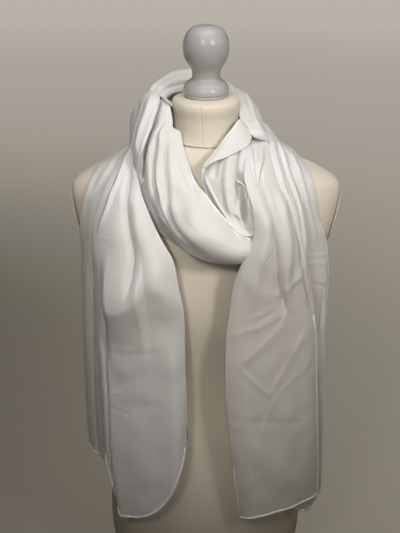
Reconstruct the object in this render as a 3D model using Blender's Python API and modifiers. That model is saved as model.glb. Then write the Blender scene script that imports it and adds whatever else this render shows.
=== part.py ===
"""A white satin stole worn round the neck of a limbless dress form.

The stole is a long rectangle of satin. Its middle hangs as a loop on the chest, both halves
cross behind the neck, and the two tails come forward over the shoulders and hang down.
The form is a covered torso on a base board, with a covered neck and a turned knob.

Front is -Y, the wearer's left is +X, up is +Z. The origin is the middle of the flat
underside of the base board. Tables are in millimetres; meshes are in metres.
"""

import math

import bmesh
import bpy
import numpy as np

MM = 0.001
SEAM = 0.3                      # gap between pieces that meet
CLOTH_WALL = 1.6                # wall of the cloth, a doubled hem's thickness
BOARD_THICK = 18.0
BOARD_INSET = 4.0
BOARD_SIDES = 56
TORSO_RINGS = 30
TORSO_SIDES = 44
NECK_RINGS = 14

# The torso from the base up: an oval at each height. side_z is the height at its two sides,
# lean how much it rises towards the back, saddle how much front and back rise over the sides.
TORSO_OVALS = (
    # side_z, lean, saddle, half_width, front, back, square
    (BOARD_THICK + SEAM, 0.0, 0.0, 146.0, 96.0, 104.0, 2.2),
    (26.0, 0.0, 0.0, 152.0, 101.0, 110.0, 2.2),
    (60.0, 0.0, 0.0, 155.0, 104.0, 114.0, 2.2),
    (100.0, 0.0, 0.0, 156.0, 104.0, 116.0, 2.2),
    (160.0, 0.0, 0.0, 151.0, 99.0, 112.0, 2.2),
    (220.0, 0.0, 0.0, 139.0, 91.0, 100.0, 2.2),
    (280.0, 0.0, 0.0, 123.0, 83.0, 86.0, 2.2),
    (320.0, 0.0, 0.0, 117.0, 81.0, 79.0, 2.2),
    (370.0, 0.0, 0.0, 121.0, 89.0, 78.0, 2.2),
    (420.0, 0.0, 0.0, 134.0, 105.0, 84.0, 2.2),
    (455.0, 0.0, 0.0, 145.0, 116.0, 91.0, 2.2),
    (500.0, 0.0, 0.0, 162.0, 113.0, 98.0, 2.2),
    (530.0, 0.0, 0.0, 180.0, 107.0, 101.0, 2.2),
    (570.0, 0.0, 1.0, 200.0, 99.0, 102.0, 2.15),
    (604.0, 0.0, 2.0, 207.0, 91.0, 101.0, 2.1),
    (632.0, 0.03, 5.0, 206.0, 83.0, 97.0, 2.1),
    (650.0, 0.07, 9.0, 180.0, 76.0, 89.0, 2.1),
    (664.0, 0.09, 10.0, 145.0, 71.0, 78.0, 2.1),
    (681.0, 0.12, 8.0, 104.0, 67.0, 69.0, 2.05),
    (695.0, 0.16, 4.0, 77.0, 64.0, 61.0, 2.0),
    (708.0, 0.20, 0.0, 60.0, 62.0, 54.0, 2.0),
)

# The neck, from the neckline seam to its rounded rim.
NECK_LEAN = 0.09
NECK_TOP = 761.5
NECK_OVALS = (
    (708.0 + SEAM, 0.20, 0.0, 59.4, 61.4, 53.4, 2.0),
    (713.0, 0.19, 0.0, 54.0, 59.5, 50.5, 2.0),
    (723.0, 0.16, 0.0, 49.5, 57.0, 47.5, 2.0),
    (738.0, 0.12, 0.0, 48.0, 56.0, 46.0, 2.0),
    (751.0, NECK_LEAN, 0.0, 49.6, 57.6, 47.2, 2.0),
    (757.0, NECK_LEAN, 0.0, 48.6, 56.6, 46.2, 2.0),
    (760.4, NECK_LEAN, 0.0, 45.2, 53.2, 42.8, 2.0),
    (NECK_TOP, NECK_LEAN, 0.0, 39.0, 47.0, 37.0, 2.0),
)

# The knob's outline, from its crown down to the foot that stands on the neck.
KNOB_OUTLINE = (
    # radius, height over the neck's top
    (0.0, 102.6),
    (10.0, 102.0),
    (19.0, 99.2),
    (26.0, 94.0),
    (30.6, 86.5),
    (33.2, 77.5),
    (33.6, 70.0),
    (32.4, 60.5),
    (29.4, 52.5),
    (25.4, 46.0),
    (22.2, 40.5),
    (20.5, 34.5),
    (20.4, 29.5),
    (22.0, 25.5),
    (26.6, 22.2),
    (30.8, 18.0),
    (33.0, 13.2),
    (33.6, 9.4),
    (33.0, 6.2),
    (30.8, 4.6),
    (31.6, 3.2),
    (31.4, 1.4),
    (30.2, SEAM),
    (0.0, SEAM),
)
KNOB_SIDES = 36

# The flat faces of the arm openings, and the padded plates on them.
ARM_TOP_X = 202.0
ARM_TOP_Z = 634.0
ARM_SLOPE = 0.25                # the face runs inwards by this much for each mm down
PLATE_Z = 582.0
PLATE_HALF_HIGH = 46.0
PLATE_HALF_WIDE = 38.0
PLATE_THICK = 3.0

# Each stretch of the stole is a band between two edges. A row gives its left and its right
# edge at one place along it, as seen from the front, then how far the band stands out
# between them, and how many degrees each edge turns back. Where a band runs round the nape,
# its first edge is the upper one for the outer layer and the lower one for the roll.
BAND_COLUMNS = "left_x left_y left_z right_x right_y right_z bulge turn_left turn_right"

# A fold runs along a band: its place across at the start, middle and end of its run, where
# it starts and ends along the band, its height (a groove is negative), and its width on each
# side of its line. All but the height are shares of the band.
FOLD_COLUMNS = "at_start at_middle at_end begins ends height left_width right_width"

# The hem of a band: how far the cloth runs, as a share of the rows' length, at even places
# from the left edge to the right edge.
LEVEL_HEM = (1.0, 1.0, 1.0)

NAPE_BAND = (
    (-90, -6, 744, -103, -16, 705.2, 3, 0, 0),
    (-98, 12, 752, -112, 4, 694, 5, 20, 0),
    (-95, 44, 758, -112, 46, 688, 8, 40, 10),
    (-76, 76, 768, -84, 82, 682, 10, 50, 20),
    (-44, 98, 777, -40, 98, 676, 12, 50, 20),
    (-5, 102, 779, 8, 101, 674, 12, 50, 20),
    (24, 92, 780, 56, 93, 682, 12, 50, 30),
    (34, 70, 773, 74, 72, 714, 11, 40, 50),
    (37, 46, 761, 76, 48, 734, 10, 40, 70),
    (48, 22, 752, 78, 26, 740, 7, 20, 70),
    (53, 4, 744, 81, 6, 734, 7, 10, 60),
    (54, -16, 736, 85, -14, 724, 7, 20, 50),
    (59, -38, 725, 89, -36, 714, 7, 20, 40),
    (66, -61, 715, 92, -55, 707, 5, 20, 30),
)
NAPE_BAND_FOLDS = (
    (0.30, 0.36, 0.30, 0.08, 0.62, -7, 0.14, 0.14),
    (0.66, 0.60, 0.66, 0.06, 0.60, -7, 0.14, 0.14),
    (0.20, 0.24, 0.30, 0.62, 0.95, -5, 0.16, 0.16),
)

NAPE_ROLL = (
    (-60, 26, 746, -84, 30, 752, 2, 0, 40),
    (-58, 36, 752, -88, 44, 762.2, 4, 20, 70),
    (-50, 50, 758, -76, 68, 775, 5, 30, 90),
    (-32, 62, 760, -48, 86, 788, 6, 30, 110),
    (-8, 68, 760, -14, 92, 790, 6, 30, 110),
    (12, 66, 757, 12, 81, 780, 4, 30, 90),
    (22, 58, 754, 24, 68, 766, 2, 10, 40),
)
NAPE_ROLL_FOLDS = (
    (0.30, 0.34, 0.30, 0.05, 0.90, -4, 0.20, 0.20),
)

NECK_FOLD_LEFT = (
    (-88, 14, 758, -76, 12, 760, 1, 0, 0),
    (-88, 4, 765, -70, 2, 768, 2, 0, 0),
    (-94, -8, 760, -67, -14, 763, 5, 10, 20),
    (-100, -20, 741, -69, -34, 752, 7, 20, 30),
    (-105, -32, 718, -75, -50, 739, 8, 30, 40),
    (-108, -44, 699, -81, -66, 724, 8, 30, 50),
    (-106, -55, 686, -87, -78, 710, 6, 30, 50),
    (-102, -71, 675, -92, -87, 694, 3, 20, 30),
    (-97, -93, 669, -94, -95, 670, 0, 0, 0),
)
NECK_FOLD_LEFT_FOLDS = (
    (0.62, 0.66, 0.66, 0.14, 0.86, 3, 0.25, 0.22),
)

FRONT_LOOP = (
    (-88, 18, 728, -70, 18, 746, 1, 0, 0),
    (-90, 2, 733, -65, 1, 760, 2, 0, 10),
    (-92, -16, 724, -59, -16, 754, 3, 10, 20),
    (-95, -34, 706, -53, -34, 735, 5, 10, 30),
    (-97, -52, 690, -49, -46, 724, 6, 10, 20),
    (-99, -66, 672, -38, -54, 720, 7, 10, 20),
    (-97, -80, 648, -32, -65, 699, 9, 20, 20),
    (-92, -93, 622, -23, -82, 673, 13, 40, 20),
    (-78, -102, 592, -16, -98, 656, 16, 60, 30),
    (-58, -113, 569, -6, -118, 646, 21, 80, 40),
    (-24, -128, 557, 8, -132, 631, 31, 130, 40),
    (12, -134, 552, 26, -138, 610, 27, 150, 40),
    (44, -138, 552, 46, -138, 588, 16.8, 130, 30),
    (72, -134, 561, 74, -132, 590, 4, 60, 20),
)
FRONT_LOOP_FOLDS = (
    (0.62, 0.46, 0.12, 0.10, 0.66, -8, 0.16, 0.10),
    (0.78, 0.62, 0.22, 0.30, 0.66, -6, 0.10, 0.10),
    (0.30, 0.20, 0.10, 0.12, 0.46, 5, 0.16, 0.16),
)

INNER_FOLD = (
    (56, -12, 714, 63, -10, 705, 0, 0, 0),
    (43, -45, 720, 60, -38, 708, 2, 0, 0),
    (24, -68, 702, 64, -62, 698, 2, 0, 0),
    (-4, -91, 678, 68, -90, 676, 2, 30, 0),
    (-8, -100, 664, 70, -102, 653, 2, 60, 0),
    (-3, -108, 644, 72, -110, 627, 2, 40, 0),
    (12, -114, 620, 73, -114, 601, 2, 20, 0),
    (30, -118, 596, 73, -116, 580, 2, 0, 0),
)
INNER_FOLD_FOLDS = (
    (0.46, 0.50, 0.50, 0.24, 0.62, -7, 0.10, 0.10),
    (0.74, 0.76, 0.74, 0.40, 0.92, -10, 0.24, 0.20),
)

TURNED_FLAP = (
    (51, -16, 728, 59, -18, 717, 0, 0, 0),
    (47, -46, 735, 58.2, -46, 720, 1, 0, 0),
    (35, -63, 723, 53, -70, 708, 2, 30, 0),
    (22, -77, 709, 41, -89, 700, 3, 50, 0),
    (9, -90, 695, 25, -99, 692, 3, 50, 0),
    (0, -98, 685, 7, -104, 684, 2, 30, 0),
    (-6, -102, 678, -2, -105, 677, 0, 0, 0),
)
TURNED_FLAP_FOLDS = ()

TAIL_LEFT_FRONT = (
    (-100, 24, 700, -80, 16, 720, 2, 0, 0),
    (-113, -12, 690, -97, -32, 703, 2, 10, 0),
    (-121, -38, 680, -104, -62, 677, 2, 20, 0),
    (-130, -60, 668, -98, -82, 662, 3, 30, 10),
    (-138, -76, 654, -90, -98, 645, 4, 40, 20),
    (-146, -88, 638, -79, -110, 629, 5, 50, 20),
    (-151, -95, 619, -68, -123, 608, 6, 50, 30),
    (-154, -100, 598, -58, -132, 583, 8, 50, 30),
    (-157, -104, 570, -49, -138, 554, 9, 50, 30),
    (-160, -106, 520, -42, -140, 509, 9, 50, 40),
    (-162, -106, 452, -36, -138, 450, 6, 50, 50),
    (-162, -106, 380, -33, -137, 370, 5, 50, 60),
    (-160, -106, 310, -32, -136, 310, 5, 50, 70),
    (-157, -107, 232, -34, -136, 230, 5, 50, 80),
    (-146, -110, 141, -38, -136, 146, 5, 50, 90),
)
TAIL_LEFT_FRONT_FOLDS = (
    (0.72, 0.55, 0.50, 0.12, 0.55, -15, 0.12, 0.10),
    (0.10, 0.13, 0.14, 0.34, 1.00, -12, 0.10, 0.06),
    (0.22, 0.20, 0.30, 0.16, 0.56, 7, 0.14, 0.16),
    (0.80, 0.74, 0.72, 0.16, 0.48, 6, 0.16, 0.20),
)
TAIL_LEFT_FRONT_HEM = (0.93, 0.985, 1.0, 1.0, 0.993, 0.98, 0.955, 0.905, 0.83)

TAIL_LEFT_BACK = (
    (-58, 90, 704, -34, 86, 714, 2, 0, 0),
    (-92, 62, 693, -64, 64, 703, 2, 0, 0),
    (-116, 34, 684, -88, 36, 696, 2, 0, 0),
    (-131, 20, 679, -98, 10, 686, 2, 0, 0),
    (-146, 2, 671, -106, -18, 684, 2, 0, 0),
    (-156, -24, 662, -110, -46, 671, 2, 0, 0),
    (-166, -44, 649, -106, -74, 649, 3, 0, 0),
    (-174, -55, 629, -98, -86, 620, 4, 5, 0),
    (-180, -58, 608, -92, -94, 594, 5, 10, 0),
    (-185, -58, 583, -86, -104, 560, 6, 10, 0),
    (-188, -57, 546, -74, -113, 520, 5, 30, 0),
    (-188, -60, 500, -62, -120, 470, 2, 60, 0),
    (-188, -64, 404, -46, -119, 410, 2, 70, 0),
    (-186, -64, 338, -38, -115, 340, 2, 70, 0),
    (-184, -64, 279, -33, -112, 285, 2, 70, 0),
    (-178, -66, 190, -31, -109, 190, 2, 70, 0),
)
TAIL_LEFT_BACK_FOLDS = (
    (0.14, 0.13, 0.12, 0.50, 1.00, -10, 0.11, 0.09),
)
TAIL_LEFT_BACK_HEM = (0.945, 0.995, 0.99, 0.945, 0.90)

TAIL_RIGHT_FRONT = (
    (44, 66, 718, 78, 60, 702, 2, 0, 0),
    (52, 34, 724, 90, 32, 708, 5, 0, 0),
    (58, 6, 724, 98, 7, 711, 7, 0, 10),
    (62, -20, 718, 106, -14, 701, 7, 0, 10),
    (66, -52, 707, 112, -38, 689, 6, 10, 20),
    (67, -84, 696, 118, -58, 673, 5, 20, 30),
    (65, -112, 686, 124, -72, 656, 5, 30, 40),
    (64, -136, 668, 131, -83, 638, 6, 50, 50),
    (64, -152, 638, 137, -92, 619, 8, 60, 50),
    (67, -160, 612, 142, -99, 593, 9, 70, 50),
    (67, -163, 590, 147, -105, 563, 10, 70, 50),
    (60, -163, 568, 152, -109, 528, 10, 70, 40),
    (46, -160, 532, 157, -110, 493, 9, 60, 40),
    (36, -156, 480, 163, -110, 446, 7, 50, 40),
    (30, -151, 400, 168, -108, 357, 6, 40, 40),
    (33, -148, 322, 172, -106, 286, 6, 40, 40),
    (44, -147, 225, 176, -104, 205, 6, 50, 40),
    (56, -146, 142, 176, -101, 160, 6, 60, 30),
)
TAIL_RIGHT_FRONT_FOLDS = (
    (0.30, 0.34, 0.46, 0.28, 0.62, -13, 0.14, 0.07),
    (0.62, 0.80, 0.90, 0.26, 0.66, -10, 0.12, 0.06),
    (0.46, 0.56, 0.66, 0.26, 0.60, 5, 0.12, 0.12),
)

TAIL_RIGHT_BACK = (
    (36, 76, 704, 60, 74, 696, 2, 0, 0),
    (64, 56, 699, 94, 52, 688, 2, 0, 0),
    (86, 36, 698, 120, 30, 684, 3, 0, 0),
    (94, 12, 694, 132, 8, 678, 3, 0, 0),
    (101, -10, 689, 139, -10, 673, 3, 0, 0),
    (106, -36, 678, 146, -30, 665, 3, 0, 0),
    (112, -61, 659, 153, -52, 650, 2, 0, 5),
    (117, -75, 631, 160, -61.5, 623, 2, 0, 20),
    (120, -85, 600, 169, -61.4, 584, 2, 0, 30),
    (122, -92, 560, 179, -57, 556, 2, 0, 30),
    (124, -94, 515, 184, -58, 516, 2, 0, 50),
    (126, -96, 466, 184, -62, 462, 2, 0, 60),
    (128, -94, 400, 182, -66, 400, 2, 0, 60),
    (128, -94, 335, 182, -68, 330, 2, 0, 60),
    (130, -94, 250, 184, -72, 250, 2, 0, 60),
    (134, -96, 126, 181, -84, 126, 2, 0, 50),
)
TAIL_RIGHT_BACK_FOLDS = (
    (0.80, 0.74, 0.76, 0.46, 1.00, -5, 0.16, 0.14),
)
TAIL_RIGHT_BACK_HEM = (0.985, 0.995, 1.0, 0.985, 0.95)

# name, rows, folds, hem, places along, places across
STOLE = (
    ("nape_band", NAPE_BAND, NAPE_BAND_FOLDS, LEVEL_HEM, 26, 11),
    ("nape_roll", NAPE_ROLL, NAPE_ROLL_FOLDS, LEVEL_HEM, 14, 8),
    ("neck_fold_left", NECK_FOLD_LEFT, NECK_FOLD_LEFT_FOLDS, LEVEL_HEM, 16, 8),
    ("front_loop", FRONT_LOOP, FRONT_LOOP_FOLDS, LEVEL_HEM, 26, 15),
    ("inner_fold", INNER_FOLD, INNER_FOLD_FOLDS, LEVEL_HEM, 14, 11),
    ("turned_flap", TURNED_FLAP, TURNED_FLAP_FOLDS, LEVEL_HEM, 9, 6),
    ("tail_left_front", TAIL_LEFT_FRONT, TAIL_LEFT_FRONT_FOLDS, TAIL_LEFT_FRONT_HEM, 26, 17),
    ("tail_left_back", TAIL_LEFT_BACK, TAIL_LEFT_BACK_FOLDS, TAIL_LEFT_BACK_HEM, 24, 13),
    ("tail_right_front", TAIL_RIGHT_FRONT, TAIL_RIGHT_FRONT_FOLDS, LEVEL_HEM, 28, 17),
    ("tail_right_back", TAIL_RIGHT_BACK, TAIL_RIGHT_BACK_FOLDS, TAIL_RIGHT_BACK_HEM, 26, 8),
)
TURN_LENGTH = 0.20              # share of a band's width that turns back at an edge


def clear_scene():
    for thing in list(bpy.data.objects):
        bpy.data.objects.remove(thing, do_unlink=True)


def collection(name, hidden=False):
    made = bpy.data.collections.new(name)
    made.hide_render = hidden
    bpy.context.scene.collection.children.link(made)
    return made


def material(name, colour, roughness, sheen=0.0):
    made = bpy.data.materials.new(name)
    made.use_nodes = True
    shader = made.node_tree.nodes["Principled BSDF"]
    shader.inputs["Base Color"].default_value = (*colour, 1.0)
    shader.inputs["Roughness"].default_value = roughness
    shader.inputs["Metallic"].default_value = 0.0
    shader.inputs["Sheen Weight"].default_value = sheen
    return made


def add_object(name, mesh, where, finish):
    made = bpy.data.objects.new(name, mesh)
    where.objects.link(made)
    mesh.materials.append(finish)
    return made


def places_of(rows):
    """Where each row lies, from 0 to 1, by the distance between its neighbours' middles."""
    middles = (rows[:, 0:3] + rows[:, 3:6]) / 2
    steps = np.linalg.norm(np.diff(middles, axis=0), axis=1)
    places = np.concatenate([[0.0], np.cumsum(steps)])
    return places / places[-1]


def smooth(rows, places, wanted, monotone=False):
    """Each column of the rows, read along a smooth curve at the wanted places.

    The slope at a row is that of the parabola through it and its neighbours. A monotone
    curve takes a gentler slope instead, so that it never overshoots a row.
    """
    gaps = np.diff(places)[:, None]
    slopes = np.diff(rows, axis=0) / gaps
    tangents = np.empty_like(rows)
    tangents[0] = slopes[0]
    tangents[-1] = slopes[-1]
    before = slopes[:-1]
    after = slopes[1:]
    if monotone:
        same_way = before * after > 0
        joint = 2 * before * after / np.where(same_way, before + after, 1)
        tangents[1:-1] = np.where(same_way, joint, 0)
    else:
        tangents[1:-1] = (before * gaps[1:] + after * gaps[:-1]) / (gaps[1:] + gaps[:-1])
    index = np.clip(np.searchsorted(places, wanted, side="right") - 1, 0, len(gaps) - 1)
    gap = gaps[index]
    t = (wanted[:, None] - places[index][:, None]) / gap
    start = (2 * t**3 - 3 * t**2 + 1) * rows[index] + (t**3 - 2 * t**2 + t) * gap * tangents[index]
    end = (3 * t**2 - 2 * t**3) * rows[index + 1] + (t**3 - t**2) * gap * tangents[index + 1]
    return start + end


def unit(vectors):
    lengths = np.linalg.norm(vectors, axis=-1, keepdims=True)
    return vectors / np.maximum(lengths, 1e-9)


def ease(x):
    """From 0 to 1, level at both ends."""
    x = np.clip(x, 0.0, 1.0)
    return x * x * (3 - 2 * x)


def edge_turn(across, width, turn):
    """How far in and how far back a turned edge lies, at shares across from that edge.

    The strip of TURN_LENGTH along the edge is bent to an arc of the given angle. The third
    result is how wide the bent strip looks from outside.
    """
    angle = np.radians(np.maximum(turn, 0.5))
    radius = TURN_LENGTH * width / angle
    bent = np.clip(1 - across / TURN_LENGTH, 0.0, 1.0) * angle
    reach = radius * np.sin(np.minimum(angle, math.pi / 2))
    return reach - radius * np.sin(bent), radius * (1 - np.cos(bent)), reach


def fold_lift(u, v, folds):
    """How far the folds raise the cloth at places u along and v across a band."""
    lift = np.zeros_like(u)
    for at_start, at_middle, at_end, begins, ends, height, left_width, right_width in folds:
        run = np.clip((u - begins) / (ends - begins), 0, 1)
        line = (
            at_start * (1 - run) * (1 - 2 * run)
            + at_middle * 4 * run * (1 - run)
            + at_end * run * (2 * run - 1)
        )
        off = v - line
        near = 1 - np.abs(off) / np.where(off < 0, left_width, right_width)
        fades = ease(run * 5)
        if ends < 1:
            fades = fades * ease((1 - run) * 5)
        lift += height * ease(near) * fades
    return lift


def band(rows, folds, hem, along, across):
    """Points of a band of cloth, as (along, across, xyz).

    At each place along, the section runs from the left edge to the right edge: a turned
    strip, a bulging middle and another turned strip. The folds are then raised from it.
    """
    rows = np.asarray(rows, float)
    places = places_of(rows)
    order = np.linspace(0, len(rows) - 1, along)
    u = np.interp(order, np.arange(len(rows)), places)
    v = np.linspace(0, 1, across)
    runs_to = smooth(np.array(hem)[:, None], np.linspace(0, 1, len(hem)), v)[:, 0]
    u, v = np.meshgrid(u, v, indexing="ij")
    u = u * runs_to
    values = smooth(rows, places, u.ravel()).reshape(along, across, 9)
    left = values[..., 0:3]
    right = values[..., 3:6]
    bulge, turn_left, turn_right = np.moveaxis(values[..., 6:9], -1, 0)
    chord = right - left
    width = np.linalg.norm(chord, axis=-1)
    path = np.gradient((left + right) / 2, axis=0)
    out = unit(np.cross(unit(path), unit(chord)))
    in_left, back_left, reach_left = edge_turn(v, width, turn_left)
    in_right, back_right, reach_right = edge_turn(1 - v, width, turn_right)
    middle = np.clip((v - TURN_LENGTH) / (1 - 2 * TURN_LENGTH), 0, 1)
    sideways = reach_left + middle * (width - reach_left - reach_right)
    sideways = np.where(v < TURN_LENGTH, in_left, sideways)
    sideways = np.where(v > 1 - TURN_LENGTH, width - in_right, sideways)
    depth = bulge * np.sin(math.pi * v) ** 1.2 - back_left - back_right
    points = left + unit(chord) * sideways[..., None] + out * depth[..., None]
    along_way = np.gradient(points, axis=0)
    across_way = np.gradient(points, axis=1)
    normal = unit(np.cross(along_way, across_way))
    return points + normal * fold_lift(u, v, folds)[..., None]


def grid_mesh(name, points, closed_across=False):
    """A mesh of four-sided faces over a grid of points in millimetres."""
    along, across, _ = points.shape
    index = np.arange(along * across).reshape(along, across)
    beside = np.roll(index, -1, axis=1) if closed_across else index[:, 1:]
    first = index if closed_across else index[:, :-1]
    quads = np.stack([first[:-1], first[1:], beside[1:], beside[:-1]], axis=-1)
    mesh = bpy.data.meshes.new(name)
    mesh.from_pydata((points.reshape(-1, 3) * MM).tolist(), [], quads.reshape(-1, 4).tolist())
    mesh.shade_smooth()
    return mesh


def crisp_rim(mesh):
    """Marks a band's open edges sharp, so that its wall shades as a cut edge."""
    shell = bmesh.new()
    shell.from_mesh(mesh)
    for edge in shell.edges:
        edge.smooth = not edge.is_boundary
    shell.to_mesh(mesh)
    shell.free()


def cloth(where, finish):
    """Every stretch of the stole: an open band with its wall added on both faces."""
    for node, rows, folds, hem, along, across in STOLE:
        points = band(rows, folds, hem, along, across)
        piece = add_object(node, grid_mesh(node, points), where, finish)
        crisp_rim(piece.data)
        wall = piece.modifiers.new("wall", "SOLIDIFY")
        wall.thickness = CLOTH_WALL * MM
        wall.offset = 0.0


def oval(row, sides):
    """One oval of the form: a rounded box outline, deeper or shallower front and back."""
    side_z, lean, saddle, half_width, front, back, square = row
    angle = np.linspace(0, 2 * math.pi, sides, endpoint=False)
    cos = np.cos(angle)
    sin = np.sin(angle)
    power = 2 / square
    x = half_width * np.sign(cos) * np.abs(cos) ** power
    share = np.sign(sin) * np.abs(sin) ** power
    y = share * np.where(share < 0, front, back)
    z = side_z + lean * y + saddle * share**2
    return np.stack([x, y, z], axis=1)


def closed_body(name, points):
    """A tube of ovals with both its ends filled."""
    mesh = grid_mesh(name, points, closed_across=True)
    shell = bmesh.new()
    shell.from_mesh(mesh)
    open_edges = [edge for edge in shell.edges if edge.is_boundary]
    bmesh.ops.holes_fill(shell, edges=open_edges, sides=points.shape[1])
    bmesh.ops.recalc_face_normals(shell, faces=shell.faces)
    shell.to_mesh(mesh)
    shell.free()
    return mesh


def lofted(name, table, rings, sides):
    """A closed body through the table's ovals, flat at both ends."""
    rows = np.asarray(table, float)
    sizes = rows[:, [0, 3, 4]]
    steps = np.linalg.norm(np.diff(sizes, axis=0), axis=1)
    places = np.concatenate([[0.0], np.cumsum(steps)]) / steps.sum()
    wanted = np.linspace(0, 1, rings)
    wanted = np.unique(np.concatenate([wanted, places[:2], places[-3:]]))
    ovals = smooth(rows, places, wanted, monotone=True)
    return closed_body(name, np.stack([oval(row, sides) for row in ovals]))


def base_board(where, finish):
    """The board that closes the torso below, with rounded edges."""
    edge = TORSO_OVALS[0]
    half_width, front, back = (size - BOARD_INSET for size in edge[3:6])
    low = oval((0.0, 0.0, 0.0, half_width, front, back, edge[6]), BOARD_SIDES)
    high = low + np.array([0.0, 0.0, BOARD_THICK])
    mesh = closed_body("base_board", np.stack([low, high]))
    board = add_object("base_board", mesh, where, finish)
    rounding = board.modifiers.new("rounded edges", "BEVEL")
    rounding.width = 2.5 * MM
    rounding.segments = 2
    rounding.limit_method = "ANGLE"
    mesh.set_sharp_from_angle(angle=math.radians(40))


def arm_face(side):
    """A point on the flat face of an arm opening, its outward direction and its tilt."""
    tilt = math.atan(ARM_SLOPE)
    x = ARM_TOP_X - (ARM_TOP_Z - PLATE_Z) * ARM_SLOPE
    return (side * x, 2.0, PLATE_Z), tilt


def arm_cutters(where):
    """Two boxes that slice the torso flat at the arm openings."""
    cutters = []
    for side in (-1, 1):
        (x, y, z), tilt = arm_face(side)
        bpy.ops.mesh.primitive_cube_add(size=1)
        box = bpy.context.object
        box.name = "arm_cutter_left" if side < 0 else "arm_cutter_right"
        size = 240.0
        box.scale = (size * MM,) * 3
        box.rotation_euler = (0, side * tilt, 0)
        away = size / 2
        box.location = (
            (x + side * away * math.cos(tilt)) * MM,
            y * MM,
            (z - away * math.sin(tilt)) * MM,
        )
        for holder in list(box.users_collection):
            holder.objects.unlink(box)
        where.objects.link(box)
        box.hide_render = True
        box.display_type = "WIRE"
        cutters.append(box)
    return cutters


def torso(where, finish, cutters):
    mesh = lofted("torso", TORSO_OVALS, TORSO_RINGS, TORSO_SIDES)
    body = add_object("torso", mesh, where, finish)
    for box in cutters:
        cut = body.modifiers.new("arm opening", "BOOLEAN")
        cut.operation = "DIFFERENCE"
        cut.object = box
    mesh.set_sharp_from_angle(angle=math.radians(60))


def arm_plates(where, finish):
    """Padded oval plates on the flat faces of the arm openings."""
    for side, name in ((-1, "arm_plate_left"), (1, "arm_plate_right")):
        (x, y, z), tilt = arm_face(side)
        bpy.ops.mesh.primitive_cylinder_add(vertices=40, radius=1, depth=1)
        plate = bpy.context.object
        plate.name = name
        plate.data.name = name
        for vertex in plate.data.vertices:
            flat_x, flat_y, high = vertex.co
            vertex.co = (
                high * PLATE_THICK * MM,
                flat_y * PLATE_HALF_WIDE * MM,
                flat_x * PLATE_HALF_HIGH * MM,
            )
        turned = bmesh.new()
        turned.from_mesh(plate.data)
        bmesh.ops.recalc_face_normals(turned, faces=turned.faces)
        turned.to_mesh(plate.data)
        turned.free()
        stand_off = SEAM + PLATE_THICK / 2
        plate.rotation_euler = (0, side * tilt, 0)
        plate.location = (
            (x + side * stand_off * math.cos(tilt)) * MM,
            y * MM,
            (z - stand_off * math.sin(tilt)) * MM,
        )
        for holder in list(plate.users_collection):
            holder.objects.unlink(plate)
        where.objects.link(plate)
        plate.data.materials.append(finish)
        rounding = plate.modifiers.new("rounded edges", "BEVEL")
        rounding.width = 1.2 * MM
        rounding.segments = 2
        rounding.limit_method = "ANGLE"
        plate.data.shade_smooth()
        plate.data.set_sharp_from_angle(angle=math.radians(40))


def neck(where, finish):
    mesh = lofted("neck", NECK_OVALS, NECK_RINGS, TORSO_SIDES)
    mesh.set_sharp_from_angle(angle=math.radians(50))
    add_object("neck", mesh, where, finish)


def knob(where, finish):
    """The turned knob: its outline spun round, standing square on the sloping neck top."""
    outline = np.array(KNOB_OUTLINE)
    corners = [(radius * MM, 0.0, height * MM) for radius, height in outline]
    mesh = bpy.data.meshes.new("knob")
    mesh.from_pydata(corners, [(i, i + 1) for i in range(len(corners) - 1)], [])
    piece = add_object("knob", mesh, where, finish)
    spin = piece.modifiers.new("turned", "SCREW")
    spin.steps = KNOB_SIDES
    spin.render_steps = KNOB_SIDES
    spin.use_merge_vertices = True
    spin.merge_threshold = 0.00005
    spin.use_smooth_shade = True
    piece.location = (0, 0, NECK_TOP * MM)
    piece.rotation_euler = (math.atan(NECK_LEAN), 0, 0)


def main():
    clear_scene()
    parts = collection("satin stole on dress form")
    helpers = collection("cutters", hidden=True)
    satin = material("white satin", (0.80, 0.79, 0.77), 0.45, 0.3)
    jersey = material("cream jersey", (0.72, 0.66, 0.55), 0.85, 0.2)
    paint = material("grey-white paint", (0.55, 0.55, 0.53), 0.5)
    board = material("pale board", (0.62, 0.52, 0.38), 0.6)
    base_board(parts, board)
    torso(parts, jersey, arm_cutters(helpers))
    arm_plates(parts, jersey)
    neck(parts, jersey)
    knob(parts, paint)
    cloth(parts, satin)


main()
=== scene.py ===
"""The looks of a white satin stole wound round the neck of a limbless dress form.

Each stretch of the stole is a band between two edges, worked out on a fine grid in the same way
as its solid, with its folds and creases raised from it, then given a thin wall and rolled hems.
The form is a set of smooth lofted and turned bodies under a knitted cover.

Front is -Y, up is +Z, and the origin is the middle of the flat underside of the base board.
Tables are in millimetres; meshes are in metres.
"""

import math

import bmesh
import bpy
import numpy as np
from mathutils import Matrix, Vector


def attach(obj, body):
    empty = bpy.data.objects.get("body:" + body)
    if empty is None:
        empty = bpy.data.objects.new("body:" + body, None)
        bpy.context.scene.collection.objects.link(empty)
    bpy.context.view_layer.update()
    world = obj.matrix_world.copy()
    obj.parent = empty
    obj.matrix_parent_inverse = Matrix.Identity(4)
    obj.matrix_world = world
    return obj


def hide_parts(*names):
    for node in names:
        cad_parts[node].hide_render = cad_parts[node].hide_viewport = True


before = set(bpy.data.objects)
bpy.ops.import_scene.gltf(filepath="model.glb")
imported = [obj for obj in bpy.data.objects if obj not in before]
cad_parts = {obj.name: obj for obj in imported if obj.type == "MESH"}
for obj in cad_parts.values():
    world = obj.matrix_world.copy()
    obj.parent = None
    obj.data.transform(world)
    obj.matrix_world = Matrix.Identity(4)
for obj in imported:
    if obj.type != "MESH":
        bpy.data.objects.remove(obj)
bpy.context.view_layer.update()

MM = 0.001
SEAM = 0.3                      # gap between pieces that meet
SHARP_BEND = 50                 # degrees past which an edge of the form looks crisp

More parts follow.
